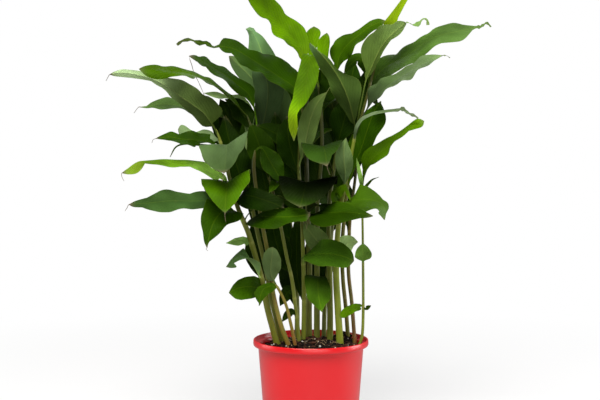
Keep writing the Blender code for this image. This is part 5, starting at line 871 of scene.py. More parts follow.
def smooth_table(table, t):
    """Values from rows of (t, ...), eased between them without overshoot."""
    if t <= table[0][0]:
        return table[0][1:]
    if t >= table[-1][0]:
        return table[-1][1:]
    for k in range(len(table) - 1):
        if t <= table[k + 1][0]:
            break
    p, q = table[k], table[k + 1]
    h = q[0] - p[0]
    x = (t - p[0]) / h
    out = []
    for c in range(1, len(p)):
        d = (q[c] - p[c]) / h
        before = (p[c] - table[k - 1][c]) / (p[0] - table[k - 1][0]) if k > 0 else d
        after = (table[k + 2][c] - q[c]) / (table[k + 2][0] - q[0]) if k + 2 < len(table) else d
        m0 = 0.0 if before * d <= 0 else 2 * before * d / (before + d)
        m1 = 0.0 if after * d <= 0 else 2 * after * d / (after + d)
        out.append((2 * x ** 3 - 3 * x * x + 1) * p[c] + (x ** 3 - 2 * x * x + x) * h * m0
                   + (3 * x * x - 2 * x ** 3) * q[c] + (x ** 3 - x * x) * h * m1)
    return tuple(out)


def as_rows(value):
    return value if isinstance(value, list) else [(0.0, value), (1.0, value)]


class Build:
    """Collects vertices, faces and what the materials need of one piece."""

    def __init__(self):
        self.v, self.f, self.m = [], [], []
        self.mm, self.st, self.tint = [], [], []

    def points(self, pts, mm, st, tint):
        first = len(self.v)
        self.v += [tuple(p) for p in pts]
        self.mm += mm
        self.st += st
        self.tint += tint
        return first

    def finish(self, name, mats, sharp=50):
        mesh = bpy.data.meshes.new(name)
        mesh.from_pydata(self.v, [], self.f)
        for mat in mats:
            mesh.materials.append(mat)
        mesh.polygons.foreach_set("material_index", self.m)
        loops = np.zeros(len(mesh.loops), dtype=np.int32)
        mesh.loops.foreach_get("vertex_index", loops)
        for key, values in (("mm", self.mm), ("st", self.st)):
            layer = mesh.uv_layers.new(name=key)
            layer.data.foreach_set("uv", np.array(values, dtype=np.float32)[loops].ravel())
        tint = mesh.color_attributes.new("tint", "FLOAT_COLOR", "POINT")
        tint.data.foreach_set("color", np.array(self.tint, dtype=np.float32).ravel())
        mesh.shade_smooth()
        mesh.set_sharp_from_angle(angle=math.radians(sharp))
        mesh.update()
        ob = bpy.data.objects.new(name, mesh)
        bpy.context.scene.collection.objects.link(ob)
        return ob


FINE_LINES = {}


def trace_fine_canes(bases):
    """Smooth centre lines, with a small step in the radius at each leaf,
    where its sheath begins."""
    for name, r0, r1, places in CANES:
        line, length = along(cane_line(places), CANE_RINGS, 20)
        marks = sorted(bases.get(name, []))
        radii = []
        for i in range(CANE_RINGS):
            share = i / (CANE_RINGS - 1)
            plain = r0 + (r1 - r0) * share ** 1.6
            low = max([m for m in marks if m <= share], default=0.0)
            high = min([m for m in marks if m > share], default=1.0)
            level = r0 + (r1 - r0) * (0.5 * (low + high)) ** 1.6
            radii.append(0.001 * (0.45 * plain + 0.55 * level))
        FINE_LINES[name] = (line, radii, length, marks)


def nearest_on(line, root):
    best = min(range(len(line) - 1), key=lambda i: (closest(line[i], line[i + 1], root)[0] - root).length)
    hub, share = closest(line[best], line[best + 1], root)
    return best, hub, share


def reach(p, way, outline):
    """How far the outline is from p that way, as seen from the front."""
    a, b = seen_at(p), seen_at(p + way * 0.001)
    dx, dy = b[0] - a[0], b[1] - a[1]
    hits = []
    if math.hypot(dx, dy) < 0.2:
        return None
    for (x0, y0), (x1, y1) in zip(outline, outline[1:]):
        ex, ey = x1 - x0, y1 - y0
        den = dx * ey - dy * ex
        if abs(den) < 1e-9:
            continue
        k = ((x0 - a[0]) * ey - (y0 - a[1]) * ex) / den
        m = ((x0 - a[0]) * dy - (y0 - a[1]) * dx) / den
        if k > 0 and 0 <= m <= 1:
            hits.append(k)
    wide = [k for k in hits if k > 1.3]
    if wide:
        return min(wide) * 0.001
    return min(hits) * 0.001 if hits else None


def follow(frames, look, fold, width):
    """Half widths that bring the margins to the outline."""
    for s, sign in ((0, -1), (1, 1)):
        shares = []
        for p, side, up, minus, plus, t, run in frames:
            c = min(max(t, 0.0), 1.0)
            lift = math.radians(fold) * min(1.0, c * 4) * look.get("flat", 1.0) * 0.8
            if "curl" in look:
                lift += math.radians(smooth_table(look["curl"], c)[s]) * 0.37
            way = side * (sign * math.cos(lift)) + up * math.sin(lift)
            far = reach(p, way, look["edge"]) if 0.04 < t < 0.995 else None
            half = (minus, plus)[s]
            if far is None or far > width * 0.0011:
                shares.append(None)
            else:
                shares.append(far / 0.985 / max(half, 0.0004))
        known = [i for i, r in enumerate(shares) if r is not None]
        if not known:
            continue
        open_to = []
        for p, side, up, minus, plus, t, run in frames:
            a, b = seen_at(p), seen_at(p + side * 0.001)
            open_to.append(math.hypot(b[0] - a[0], b[1] - a[1]) / 0.68)
        for i, f in enumerate(frames):
            if shares[i] is None:
                near = sorted(known, key=lambda k: abs(k - i))[0]
                known_one = min(shares[near], 1.6)
                ratio = min(known_one + (1.0 - known_one) * min(abs(near - i) / 14, 1.0), 1.25)
            else:
                ratio = shares[i]
            f[3 + s] = max(f[3 + s], 0.0004) * ratio
        h = [f[3 + s] for f in frames]
        for _ in range(5):
            h = [h[0]] + [b + min(max((0.55 - o) / 0.4, 0.0), 0.7) * (0.25 * a + 0.25 * c - 0.5 * b)
                          for a, b, c, o in zip(h, h[1:], h[2:], open_to[1:])] + [h[-1]]
        for f, w in zip(frames, h):
            f[3 + s] = w


def fine_frames(leaf, push, rows, look):
    """Centre line, side and up directions and half widths of a fine blade."""
    node, cane, width, face0, face1, fold, shape, places = leaf
    n = len(places) - 1
    pts = [spot(u, v, y + push * min(k / n / 0.35, 1.0)) for k, (u, v, y) in enumerate(places)]
    line, radii, _, _ = FINE_LINES[cane]
    best, hub, share = nearest_on(line, spot(*places[0]))
    r = radii[best]
    axis = (line[best + 1] - line[best]).normalized()
    way = pts[1] - hub
    out = way - axis * way.dot(axis)
    if out.length < 0.001:
        out = Vector((1, 0, 0)) - axis * axis.x
    out.normalize()
    pts[0] = hub + out * r * 0.75
    under = line[max(best - 3, 0)] + out * r * 0.45
    mid, length = along([under] + pts, rows, 20)
    lead = (pts[0] - under).length / length
    frames = []
    for i, p in enumerate(mid):
        t = (i / (rows - 1) - lead) / (1 - lead)
        run = (mid[min(i + 1, rows - 1)] - mid[max(i - 1, 0)]).normalized()
        c = min(max(t, 0.0), 1.0)
        up = Vector(face0).normalized().lerp(Vector(face1).normalized(), c)
        if "face" in look:
            up = Vector(look["face"])
        up = (up - run * up.dot(run)).normalized()
        side = run.cross(up)
        if "half" in look:
            minus, plus = smooth_table(look["half"], c)
            halves = [minus * 0.001, plus * 0.001]
        else:
            s = width_at(c, shape)
            if c > 0.8:
                s *= 1 - 0.25 * ((c - 0.8) / 0.2) ** 2
            halves = [width * 0.0005 * s] * 2
        frames.append([p, side, up, halves[0], halves[1], t, run])
    if "edge" in look:
        follow(frames, look, fold, width)
    ribbon = look.get("tailw", 0.8) * 0.0004 if look.get("tailw", 0.8) > 3 else 0.0
    for f in frames:
        least = max(0.0014 - 0.0010 * min(max(f[5], 0.0), 1.0), ribbon * min(max((f[5] - 0.86) / 0.1, 0.0), 1.0))
        f[3], f[4] = max(f[3], least), max(f[4], least)
    lims = [[1.0, 1.0] for _ in frames]
    for i, (a, b) in enumerate(zip(frames, frames[1:])):
        step = (b[0] - a[0]).length
        turn = 0.5 * (b[6].dot(a[1]) - a[6].dot(b[1]))
        limit = 0.75 * step / max(abs(turn), 0.0001)
        s = 1 if turn > 0 else 0
        lims[i][s] = min(lims[i][s], limit)
        lims[i + 1][s] = min(lims[i + 1][s], limit)
    for s in (0, 1):
        h = [min(f[3 + s], max(l[s], 0.0012)) for f, l in zip(frames, lims)]
        for _ in range(2):
            h = [h[0]] + [0.25 * a + 0.5 * b + 0.25 * c for a, b, c in zip(h, h[1:], h[2:])] + [h[-1]]
        for f, w in zip(frames, h):
            f[3 + s] = min(f[3 + s], w)
    tail = look.get("tail")
    if tail:
        tip = seen_at(frames[-1][0])
        path = [frames[-1][0]] + [spot(u, v, tip[2] + dy) for u, v, dy in tail]
        more, extra = along([frames[-3][0]] + path, TAIL_ROWS + 3, 12)
        up = frames[-1][2]
        if look.get("tailw", 0.8) > 3:
            up = (up * 0.5 + Vector((0, -0.8, 0.2))).normalized()
        steps = len(more)
        wide, crimp = look.get("tailw", 0.8) * 0.0005, math.radians(look.get("crimp", 0))
        for i in range(3, steps):
            run = (more[min(i + 1, steps - 1)] - more[i - 1]).normalized()
            up = (up - run * up.dot(run)).normalized()
            share = i / (steps - 1)
            w = wide * (1 - 0.55 * share) * (1 + 0.35 * math.sin(i * 1.7) * (crimp > 0))
            roll = crimp * math.sin(i * 0.93 + width)
            side = run.cross(up)
            tilted = up * math.cos(roll) + side * math.sin(roll)
            frames.append([more[i], run.cross(tilted), tilted, w, w, 1 + 0.02 * i, run])
    return frames, math.radians(fold), length


def lamina(build, leaf, push, look, seed, rows, across):
    """A thin closed blade: V fold, rounded halves, waving margins, a groove
    along the midrib above and a ridge below it."""
    frames, fold, length = fine_frames(leaf, push, rows, look)
    rng = random.Random(seed)
    sway, count, ph0, ph1 = look.get("wave", (11, rng.uniform(2.0, 3.2), rng.uniform(0, 3), rng.uniform(0, 3)))
    phase = (ph0 * 2.1, ph1 * 2.1)
    young = as_rows(look.get("young", 0.05 + 0.15 * rng.random()))
    # how much painted sheen the leaf gets
    painted_sheen = as_rows(look.get("painted_sheen", 0.0))
    crisp = look.get("crisp", 1.0 if "tail" in look else 0.5)
    # joined leaves get a low lightness, painted shade that stands in for the shade of the leaves around them inside the
    # clump
    plain = 1.0 if leaf[0] != leaf[1] else 0.26 + 0.22 * rng.random()
    if leaf not in LEAVES or leaf[1] in ("cane_14", "cane_15"):
        plain *= 1.4  # the back of the clump gets more light than its middle
    # the lightness is the leaf's own tone together with painted light and painted shade
    tone_and_painted_light = as_rows(look.get("tone_and_painted_light", plain))
    curl = look.get("curl", [(0.0, 0.0, 0.0), (1.0, 0.0, 0.0)])
    n, m = len(frames), len(across)
    grid = np.zeros((n, 2 * m - 1, 3))
    dist = np.zeros((n, 2 * m - 1))
    share = np.zeros((n, 2 * m - 1))
    mottle_and_painted_wave_shade = np.ones((n, 2 * m - 1))
    drift = Vector((rng.uniform(-50, 50), rng.uniform(-50, 50), rng.uniform(-50, 50)))
    run_mm = [0.0]
    for a, b in zip(frames, frames[1:]):
        run_mm.append(run_mm[-1] + (b[0] - a[0]).length * 1000)
    for i, (p, side, up, minus, plus, t, run) in enumerate(frames):
        c = min(max(t, 0.0), 1.0)
        swell = math.sin(math.pi * min(max(c * 1.05, 0.0), 1.0)) ** 0.6 if c < 0.95 else 0.3
        curls = smooth_table(curl, c)
        for s, sign, half in ((0, -1, minus), (1, 1, plus)):
            x = z = 0.0
            base = fold * min(1.0, c * 4) * look.get("flat", 1.0)
            for k in range(m):
                a = across[k]
                if k:
                    mid = 0.5 * (a + across[k - 1])
                    step = (a - across[k - 1]) * half
                    open_up = 1 - math.exp(-mid * half / 0.0022)
                    angle = base * open_up + math.radians(7) * (0.55 - mid) * 2 * swell
                    angle += math.radians(curls[s]) * mid ** 1.7
                    ripple = math.sin(math.tau * count * c + phase[s] + 0.6 * math.sin(math.tau * c * 1.3 + phase[1 - s]))
                    uneven = noise.noise(Vector((c * count * 2.6 + seed, sign * 3.7, seed * 0.31)))
                    angle += math.radians(sway * 1.25) * swell * mid * (0.7 * ripple + 1.3 * uneven)
                    x += math.cos(angle) * step
                    z += math.sin(angle) * step
                j = m - 1 + sign * k
                bump = 0.0
                if t <= 1:
                    where = p * 26 + side * (sign * x * 26) + drift
                    bump = (noise.noise(where) * 0.0019 + noise.noise(where * 2.3) * 0.0006) * min(half / 0.012, 1.0) * (0.3 + 0.7 * a)
                q = p + side * (sign * x) + up * (z + bump)
                grid[i, j] = q
                dist[i, j] = sign * a * half * 1000
                share[i, j] = sign * a
                # random mottling of the lightness, then painted shade from the waves
                if t <= 1:
                    far = p * 21 + side * (sign * x * 34) - drift
                    mottle_and_painted_wave_shade[i, j] = 1 + 0.42 * noise.noise(far) + 0.24 * noise.noise(far * 2.7)
                    # painted shade: the waving margins are painted lighter and darker in bands, where their slope would
                    # turn them to and from the light
                    if k:
                        mottle_and_painted_wave_shade[i, j] += 0.20 * swell * a * (0.7 * ripple + 1.3 * uneven)
    along_v = np.gradient(grid, axis=0)
    across_v = np.gradient(grid, axis=1)
    normal = np.cross(across_v, along_v)
    normal /= np.maximum(np.linalg.norm(normal, axis=2, keepdims=True), 1e-12)
    ts = np.array([f[5] for f in frames])[:, None]
    tc = np.clip(ts, 0, 1)
    near = np.exp(-(dist / 0.95) ** 2)
    thick = SHEET * (1 - 0.35 * np.abs(share))
    ridge = near * (0.0013 * (1 - tc) ** 1.2 + 0.00025) * (ts <= 1.0)
    groove = near * 0.00022 * (1 - tc) * (ts > 0.08)
    tail_part = (ts > 1.0)
    top = grid + normal * (thick * 0.5 - groove + np.where(tail_part, 0.00018, 0.0))[..., None]
    low = grid - normal * (thick * 0.5 + ridge)[..., None]
    w = 2 * m - 1
    mm, st, tint = [], [], []
    for i in range(n):
        t = float(ts[i, 0])
        dry = 0.0 if t < 0.93 else min((t - 0.93) / 0.07, 1.0) ** 2 * crisp
        dry = max(dry, min(max((t - 1.12) / 0.2, 0.0), 1.0) * min(crisp + 0.25, 1.0))
        c = min(max(t, 0.0), 1.0)
        fresh, g, sh = [smooth_table(rows_of, c)[0] for rows_of in (young, painted_sheen, tone_and_painted_light)]
        for j in range(w):
            mm.append((dist[i, j] * 0.1, run_mm[i] * 0.1))
            st.append((0.5 + 0.5 * share[i, j], min(max(t, 0.0), 1.0)))
            # the tint carries age, painted sheen, dryness, and the lightness with its painted light and shade
            tint.append((fresh, g, dry, sh * max(float(mottle_and_painted_wave_shade[i, j]), 0.3)))
    first = build.points(list(top.reshape(-1, 3)) + list(low.reshape(-1, 3)), mm * 2, st * 2, tint * 2)
    up0, dn0 = first, first + n * w

    def u(i, j):
        return up0 + i * w + j

    def d(i, j):
        return dn0 + i * w + j

    for i in range(n - 1):
        for j in range(w - 1):
            build.f.append((u(i, j), u(i, j + 1), u(i + 1, j + 1), u(i + 1, j)))
            build.m.append(0)
            build.f.append((d(i, j), d(i + 1, j), d(i + 1, j + 1), d(i, j + 1)))
            build.m.append(1)
        e = w - 1
        build.f.append((u(i, e), d(i, e), d(i + 1, e), u(i + 1, e)))
        build.f.append((u(i, 0), u(i + 1, 0), d(i + 1, 0), d(i, 0)))
        build.m += [1, 1]
    for j in range(w - 1):
        build.f.append((u(0, j), d(0, j), d(0, j + 1), u(0, j + 1)))
        build.f.append((u(n - 1, j), u(n - 1, j + 1), d(n - 1, j + 1), d(n - 1, j)))
        build.m += [1, 1]


def stem(build, name, index):
    """A cane: a closed tube, faintly ribbed, with a thin collar where each
    leaf leaves it, closing to a blunt top."""
    line, radii, length, marks = FINE_LINES[name]
    yellow, red = CANE_LOOK[name]
    rng = random.Random(sum(ord(c) for c in name))
    drift = rng.uniform(0, 50)
    n, k = len(line), CANE_ROUND
    pts, mm, st, tint = [], [], [], []
    side = Vector((1, 0, 0))
    for i, (p, r) in enumerate(zip(line, radii)):
        t = (line[min(i + 1, n - 1)] - line[max(i - 1, 0)]).normalized()
        side = (side - t * side.dot(t)).normalized()
        other = t.cross(side)
        share = i / (n - 1)
        if i >= n - 4:
            r *= (0.93, 0.8, 0.55, 0.2)[i - (n - 4)]
        collar = max([math.exp(-((share - m) * length / 0.0022) ** 2) for m in marks], default=0.0)
        r += 0.00018 * collar
        foot = math.exp(-max(share * length - 0.030, 0.0) / 0.02)
        r *= 1 + 0.10 * foot
        for q in range(k):
            a = math.tau * q / k
            rr = r * (1 + 0.018 * math.sin(5 * a + drift) + 0.012 * math.sin(9 * a + drift * 2)
                      + 0.03 * noise.noise(Vector((math.cos(a), math.sin(a), share * length * 40 + drift))))
            pts.append(p + (side * math.cos(a) + other * math.sin(a)) * rr)
            around = abs(2.0 * q / k - 1.0)
            mm.append((around * r * 1000 * math.pi * 0.1, share * length * 100))
            st.append((around, share))
            low = math.exp(-max(share * length - 0.030, 0.0) / 0.11)
            # painted shade: the cane is painted darker from 0.27 m up to 0.39 m, as if shaded by the foliage, less
            # where its top is open to the light
            dark = min(max((p.z - 0.27) / 0.12, 0.0), 1.0) * BARE_TOP.get(name, 1.0)
            tint.append((yellow, collar, red * (0.35 + 0.65 * low), 1.0 - 0.68 * dark))
    first = build.points(pts, mm, st, tint)
    for i in range(n - 1):
        for q in range(k):
            low, high, p = first + i * k, first + (i + 1) * k, (q + 1) % k
            build.f.append((low + q, low + p, high + p, high + q))
            build.m.append(index)
    build.f.append(tuple(first + q for q in reversed(range(k))))
    build.f.append(tuple(first + (n - 1) * k + q for q in range(k)))
    build.m += [index, index]


# ----------------------------------------------------------------- materials
class Net:
    """Short names for the nodes of one material."""

    def __init__(self, name):
        self.mat = bpy.data.materials.new(name)
        self.mat.use_nodes = True
        self.nodes = self.mat.node_tree.nodes
        self.links = self.mat.node_tree.links
        self.shader = self.nodes["Principled BSDF"]

    def put(self, socket, value):
        if isinstance(value, bpy.types.NodeSocket):
            self.links.new(value, socket)
        else:
            socket.default_value = value

    def math(self, op, a, b=0.0, clamp=False):
        node = self.nodes.new("ShaderNodeMath")
        node.operation = op
        node.use_clamp = clamp
        self.put(node.inputs[0], a)
        self.put(node.inputs[1], b)
        return node.outputs[0]

    def ramp(self, value, low, high, out0=0.0, out1=1.0):
        node = self.nodes.new("ShaderNodeMapRange")
        node.interpolation_type = "SMOOTHSTEP"
        self.put(node.inputs[0], value)
        for k, x in enumerate((low, high, out0, out1)):
            node.inputs[k + 1].default_value = x
        return node.outputs[0]

    def mix(self, share, a, b):
        node = self.nodes.new("ShaderNodeMix")
        node.data_type = "RGBA"
        self.put(node.inputs[0], share)
        for socket, value in ((node.inputs[6], a), (node.inputs[7], b)):
            self.put(socket, value if isinstance(value, bpy.types.NodeSocket) else (*value, 1))
        return node.outputs[2]

    def noise(self, scale, detail=4.0, rough=0.55, vector=None, stretch=None):
        if vector is None:
            vector = self.place()
        if stretch is not None:
            node = self.nodes.new("ShaderNodeMapping")
            self.put(node.inputs[0], vector)
            node.inputs[3].default_value = stretch
            vector = node.outputs[0]
        node = self.nodes.new("ShaderNodeTexNoise")
        self.put(node.inputs["Vector"], vector)
        node.inputs["Scale"].default_value = scale
        node.inputs["Detail"].default_value = detail
        node.inputs["Roughness"].default_value = rough
        return node.outputs[0]

    def place(self):
        return self.nodes.new("ShaderNodeTexCoord").outputs["Object"]

    def uv(self, name):
        node = self.nodes.new("ShaderNodeUVMap")
        node.uv_map = name
        split = self.nodes.new("ShaderNodeSeparateXYZ")
        self.links.new(node.outputs[0], split.inputs[0])
        return node.outputs[0], split.outputs[0], split.outputs[1]

    def tint(self):
        node = self.nodes.new("ShaderNodeAttribute")
        node.attribute_name = "tint"
        split = self.nodes.new("ShaderNodeSeparateColor")
        self.links.new(node.outputs["Color"], split.inputs[0])
        return split.outputs[0], split.outputs[1], split.outputs[2], node.outputs["Alpha"]

    def bump(self, height, strength, distance, onto=None):
        node = self.nodes.new("ShaderNodeBump")
        node.inputs["Strength"].default_value = strength
        node.inputs["Distance"].default_value = distance
        self.put(node.inputs["Height"], height)
        if onto is not None:
            self.links.new(onto, node.inputs["Normal"])
        return node.outputs[0]


def leaf_material(name, under):
    net = Net(name)
    young, painted_sheen, dry, tone_and_painted_light = net.tint()
    vec, x, y = net.uv("mm")
    _, s, t = net.uv("st")
    away = net.math("ABSOLUTE", x)
    # veins leave the midrib at a low angle and run towards the margin and tip
    q = net.math("SUBTRACT", y, net.math("MULTIPLY", net.math("POWER", away, 0.86), 2.3))
    wob = net.noise(1.1, 2.0, vector=vec)
    q = net.math("ADD", q, net.math("MULTIPLY", wob, 0.35))
    fine = net.math("SINE", net.math("MULTIPLY", q, math.tau / 0.155))
    broad = net.math("SINE", net.math("MULTIPLY", q, math.tau / 0.93))
    vein = net.math("POWER", net.math("ADD", net.math("MULTIPLY", fine, 0.5), 0.5), 3.0)
    plait = net.math("ADD", net.math("MULTIPLY", broad, 0.5), 0.5)
    patch = net.noise(16.0, 4.0)
    speck = net.noise(420.0, 3.0)
    rib = net.ramp(away, 0.035, 0.11, 1.0, 0.0)
    # painted light: a thin pale margin standing in for light showing through the thin edge of the blade
    painted_translucent_rim = net.ramp(net.math("ABSOLUTE", net.math("SUBTRACT", s, 0.5)), 0.482, 0.496)
    if under:
        old = net.mix(patch, (0.030, 0.064, 0.009), (0.050, 0.098, 0.016))
        new = net.mix(patch, (0.130, 0.225, 0.013), (0.175, 0.280, 0.022))
        line = (0.100, 0.160, 0.028)
        mid = (0.180, 0.240, 0.040)
    else:
        old = net.mix(patch, (0.006, 0.028, 0.0002), (0.014, 0.056, 0.0004))
        new = net.mix(patch, (0.080, 0.195, 0.0002), (0.125, 0.260, 0.0004))
        line = (0.034, 0.095, 0.001)
        mid = (0.100, 0.180, 0.005)
    col = net.mix(young, old, new)
    col = net.mix(net.ramp(young, 1.0, 1.5), col, (0.240, 0.330, 0.005))
    # base a little lighter, as the blade grows out of its sheath
    col = net.mix(net.ramp(t, 0.0, 0.22, 0.30, 0.0), col, new)
    col = net.mix(net.math("MULTIPLY", plait, 0.20), col, line)
    col = net.mix(net.math("MULTIPLY", vein, 0.36 if under else 0.26), col, line)
    col = net.mix(net.math("MULTIPLY", rib, 0.62 if under else 0.32), col, mid)
    col = net.mix(net.math("MULTIPLY", painted_translucent_rim, 0.45), col, mid)
    worn = net.math("MULTIPLY", net.ramp(net.noise(55.0, 3.0), 0.68, 0.78), 0.10)
    col = net.mix(worn, col, (0.22, 0.20, 0.06))
    # painted sheen: the colour is mixed towards a greyish green, bluish on old leaves and paler on young ones, in place
    # of the reflection of the bright surroundings
    col = net.mix(net.math("MULTIPLY", painted_sheen, net.ramp(patch, 0.2, 0.7, 0.6, 1.0)), col,
                  net.mix(net.ramp(young, 0.12, 0.42), (0.082, 0.165, 0.078), (0.165, 0.225, 0.115)))
    # painted light and shade: the colour is scaled by the lightness in the tint's alpha, which is the leaf's own tone
    # together with painted light and painted shade
    dim = net.nodes.new("ShaderNodeVectorMath")
    dim.operation = "SCALE"
    net.links.new(col, dim.inputs[0])
    net.links.new(tone_and_painted_light, dim.inputs[3])
    col = net.mix(dry, dim.outputs[0], net.mix(speck, (0.085, 0.065, 0.038), (0.230, 0.185, 0.120)))
    net.put(net.shader.inputs["Base Color"], col)
    rough = net.math("ADD", net.math("MULTIPLY", patch, 0.16), 0.50 if under else 0.38)
    rough = net.math("ADD", rough, net.math("MULTIPLY", vein, 0.06))
    rough = net.math("ADD", rough, net.math("MULTIPLY", dry, 0.3), clamp=True)
    net.put(net.shader.inputs["Roughness"], rough)
    net.shader.inputs["Specular IOR Level"].default_value = 0.05 if under else 0.06
    net.shader.inputs["Specular Tint"].default_value = (0.80, 1.0, 0.42, 1)
    normal = net.bump(net.math("ADD", net.math("MULTIPLY", plait, 0.9), net.math("MULTIPLY", vein, 0.4)),
                      0.55, 0.0004)
    normal = net.bump(patch, 0.45, 0.0016, normal)
    net.links.new(normal, net.shader.inputs["Normal"])
    return net.mat


def cane_material():
    net = Net("cane_skin")
    yellow, collar, red, tone_and_painted_light = net.tint()
    vec, x, y = net.uv("mm")
    streak = net.noise(1.0, 4.0, 0.6, vec, (9.0, 0.25, 1.0))
    line = net.noise(1.0, 2.0, 0.5, vec, (28.0, 0.5, 1.0))
    blotch = net.noise(60.0, 4.0)
    old = net.mix(streak, (0.035, 0.058, 0.005), (0.115, 0.155, 0.014))
    new = net.mix(streak, (0.150, 0.205, 0.012), (0.320, 0.375, 0.026))
    col = net.mix(yellow, old, new)
    col = net.mix(net.math("MULTIPLY", net.ramp(line, 0.52, 0.64), 0.35), col, (0.290, 0.330, 0.085))
    stain = net.math("MULTIPLY", red, net.ramp(net.math("ADD", streak, net.math("MULTIPLY", blotch, 0.4)), 0.48, 0.85))
    col = net.mix(stain, col, (0.240, 0.060, 0.022))
    col = net.mix(net.math("MULTIPLY", collar, 0.6), col, (0.330, 0.340, 0.070))
    # painted shade: the lightness in the tint's alpha darkens the canes' upper parts
    dim = net.nodes.new("ShaderNodeVectorMath")
    dim.operation = "SCALE"
    net.links.new(col, dim.inputs[0])
    net.links.new(tone_and_painted_light, dim.inputs[3])
    net.put(net.shader.inputs["Base Color"], dim.outputs[0])
    net.shader.inputs["Specular IOR Level"].default_value = 0.25
    net.put(net.shader.inputs["Roughness"], net.math("ADD", net.math("MULTIPLY", streak, 0.2), 0.32))
    normal = net.bump(line, 0.5, 0.0004)
    net.links.new(normal, net.shader.inputs["Normal"])
    return net.mat


def pot_material():
    net = Net("pot_skin")
    soft = net.noise(9.0, 3.0)
    speck = net.noise(260.0, 3.0)
    scuff = net.ramp(net.noise(34.0, 5.0, 0.65, stretch=(1.0, 1.0, 0.35)), 0.60, 0.74)
    col = net.mix(soft, (0.690, 0.003, 0.007), (0.760, 0.005, 0.010))
    col = net.mix(net.math("MULTIPLY", scuff, 0.12), col, (0.700, 0.060, 0.060))
    net.put(net.shader.inputs["Base Color"], col)
    rough = net.math("ADD", net.math("MULTIPLY", soft, 0.10), 0.27)
    rough = net.math("ADD", rough, net.math("MULTIPLY", scuff, 0.16))
    net.put(net.shader.inputs["Roughness"], rough)
    net.shader.inputs["Specular IOR Level"].default_value = 0.6
    net.shader.inputs["Coat Weight"].default_value = 0.18
    net.shader.inputs["Coat Roughness"].default_value = 0.18
    normal = net.bump(speck, 0.06, 0.0003)
    normal = net.bump(soft, 0.10, 0.002, normal)
    net.links.new(normal, net.shader.inputs["Normal"])
    return net.mat


def speckled(name, dark, light, scale, rough, depth=0.0005):
    net = Net(name)
    grain = net.noise(scale, 6.0, 0.65)
    fine = net.noise(scale * 5, 4.0, 0.6)
    col = net.mix(net.ramp(grain, 0.3, 0.7), dark, light)
    col = net.mix(net.math("MULTIPLY", fine, 0.35), col, dark)
    net.put(net.shader.inputs["Base Color"], col)
    net.put(net.shader.inputs["Roughness"], net.math("ADD", net.math("MULTIPLY", fine, 0.25), rough - 0.12, clamp=True))
    net.shader.inputs["Specular IOR Level"].default_value = 0.15
    normal = net.bump(grain, 0.7, depth)
    normal = net.bump(fine, 0.5, depth * 0.4, normal)
    net.links.new(normal, net.shader.inputs["Normal"])
    return net.mat


# ---------------------------------------------------------------------- soil
def ground(x, y):
    """Height of the loose soil's surface."""
    h = soil_height(x, y) - 0.0005
    h += 0.0125 * math.exp(-(((x - 0.053) / 0.017) ** 2 + ((y - 0.040) / 0.020) ** 2))
    h += 0.0030 * math.exp(-(((x - 0.012) / 0.020) ** 2 + ((y + 0.020) / 0.020) ** 2))
    p = Vector((x, y, 0.0))
    h += 0.0022 * noise.noise(p * 60) + 0.0016 * noise.noise(p * 160 + Vector((7, 3, 1)))
    h += 0.0010 * noise.noise(p * 420 + Vector((3, 9, 4)))
    edge = math.hypot(x, y)
    return h - max(edge - 0.068, 0.0) * 0.35


def earth(mat):
    rings, around = 64, 180
    edge = outer_radius(SOIL_EDGE) - WALL - 0.0006
    pts = [(0, 0, ground(0, 0))]
    for i in range(1, rings + 1):
        r = edge * (i / rings) ** 0.9
        for k in range(around):
            a = math.tau * (k + 0.5 * (i % 2)) / around
            x, y = r * math.cos(a), r * math.sin(a)
            pts.append((x, y, ground(x, y)))
    for r, z in ((outer_radius(0.09) - WALL - 0.0006, 0.09), (outer_radius(0.03) - WALL - 0.0006, 0.03),
                 (BASE_RADIUS - 0.0072, FLOOR + GAP)):
        for k in range(around):
            a = math.tau * (k + 0.5 * (rings % 2)) / around
            pts.append((r * math.cos(a), r * math.sin(a), z))
    pts.append((0, 0, FLOOR + GAP))
    faces = [(0, 1 + k, 1 + (k + 1) % around) for k in range(around)]
    for i in range(rings + 2):
        a, b = 1 + i * around, 1 + (i + 1) * around
        for k in range(around):
            q = (k + 1) % around
            faces.append((a + k, b + k, b + q, a + q))
    last = 1 + (rings + 2) * around
    faces += [(last + k, len(pts) - 1, last + (k + 1) % around) for k in range(around)]
    mesh = bpy.data.meshes.new("potting_soil")
    mesh.from_pydata(pts, [], faces)
    mesh.materials.append(mat)
    mesh.shade_smooth()
    ob = bpy.data.objects.new("potting_soil", mesh)
    bpy.context.scene.collection.objects.link(ob)
    return ob


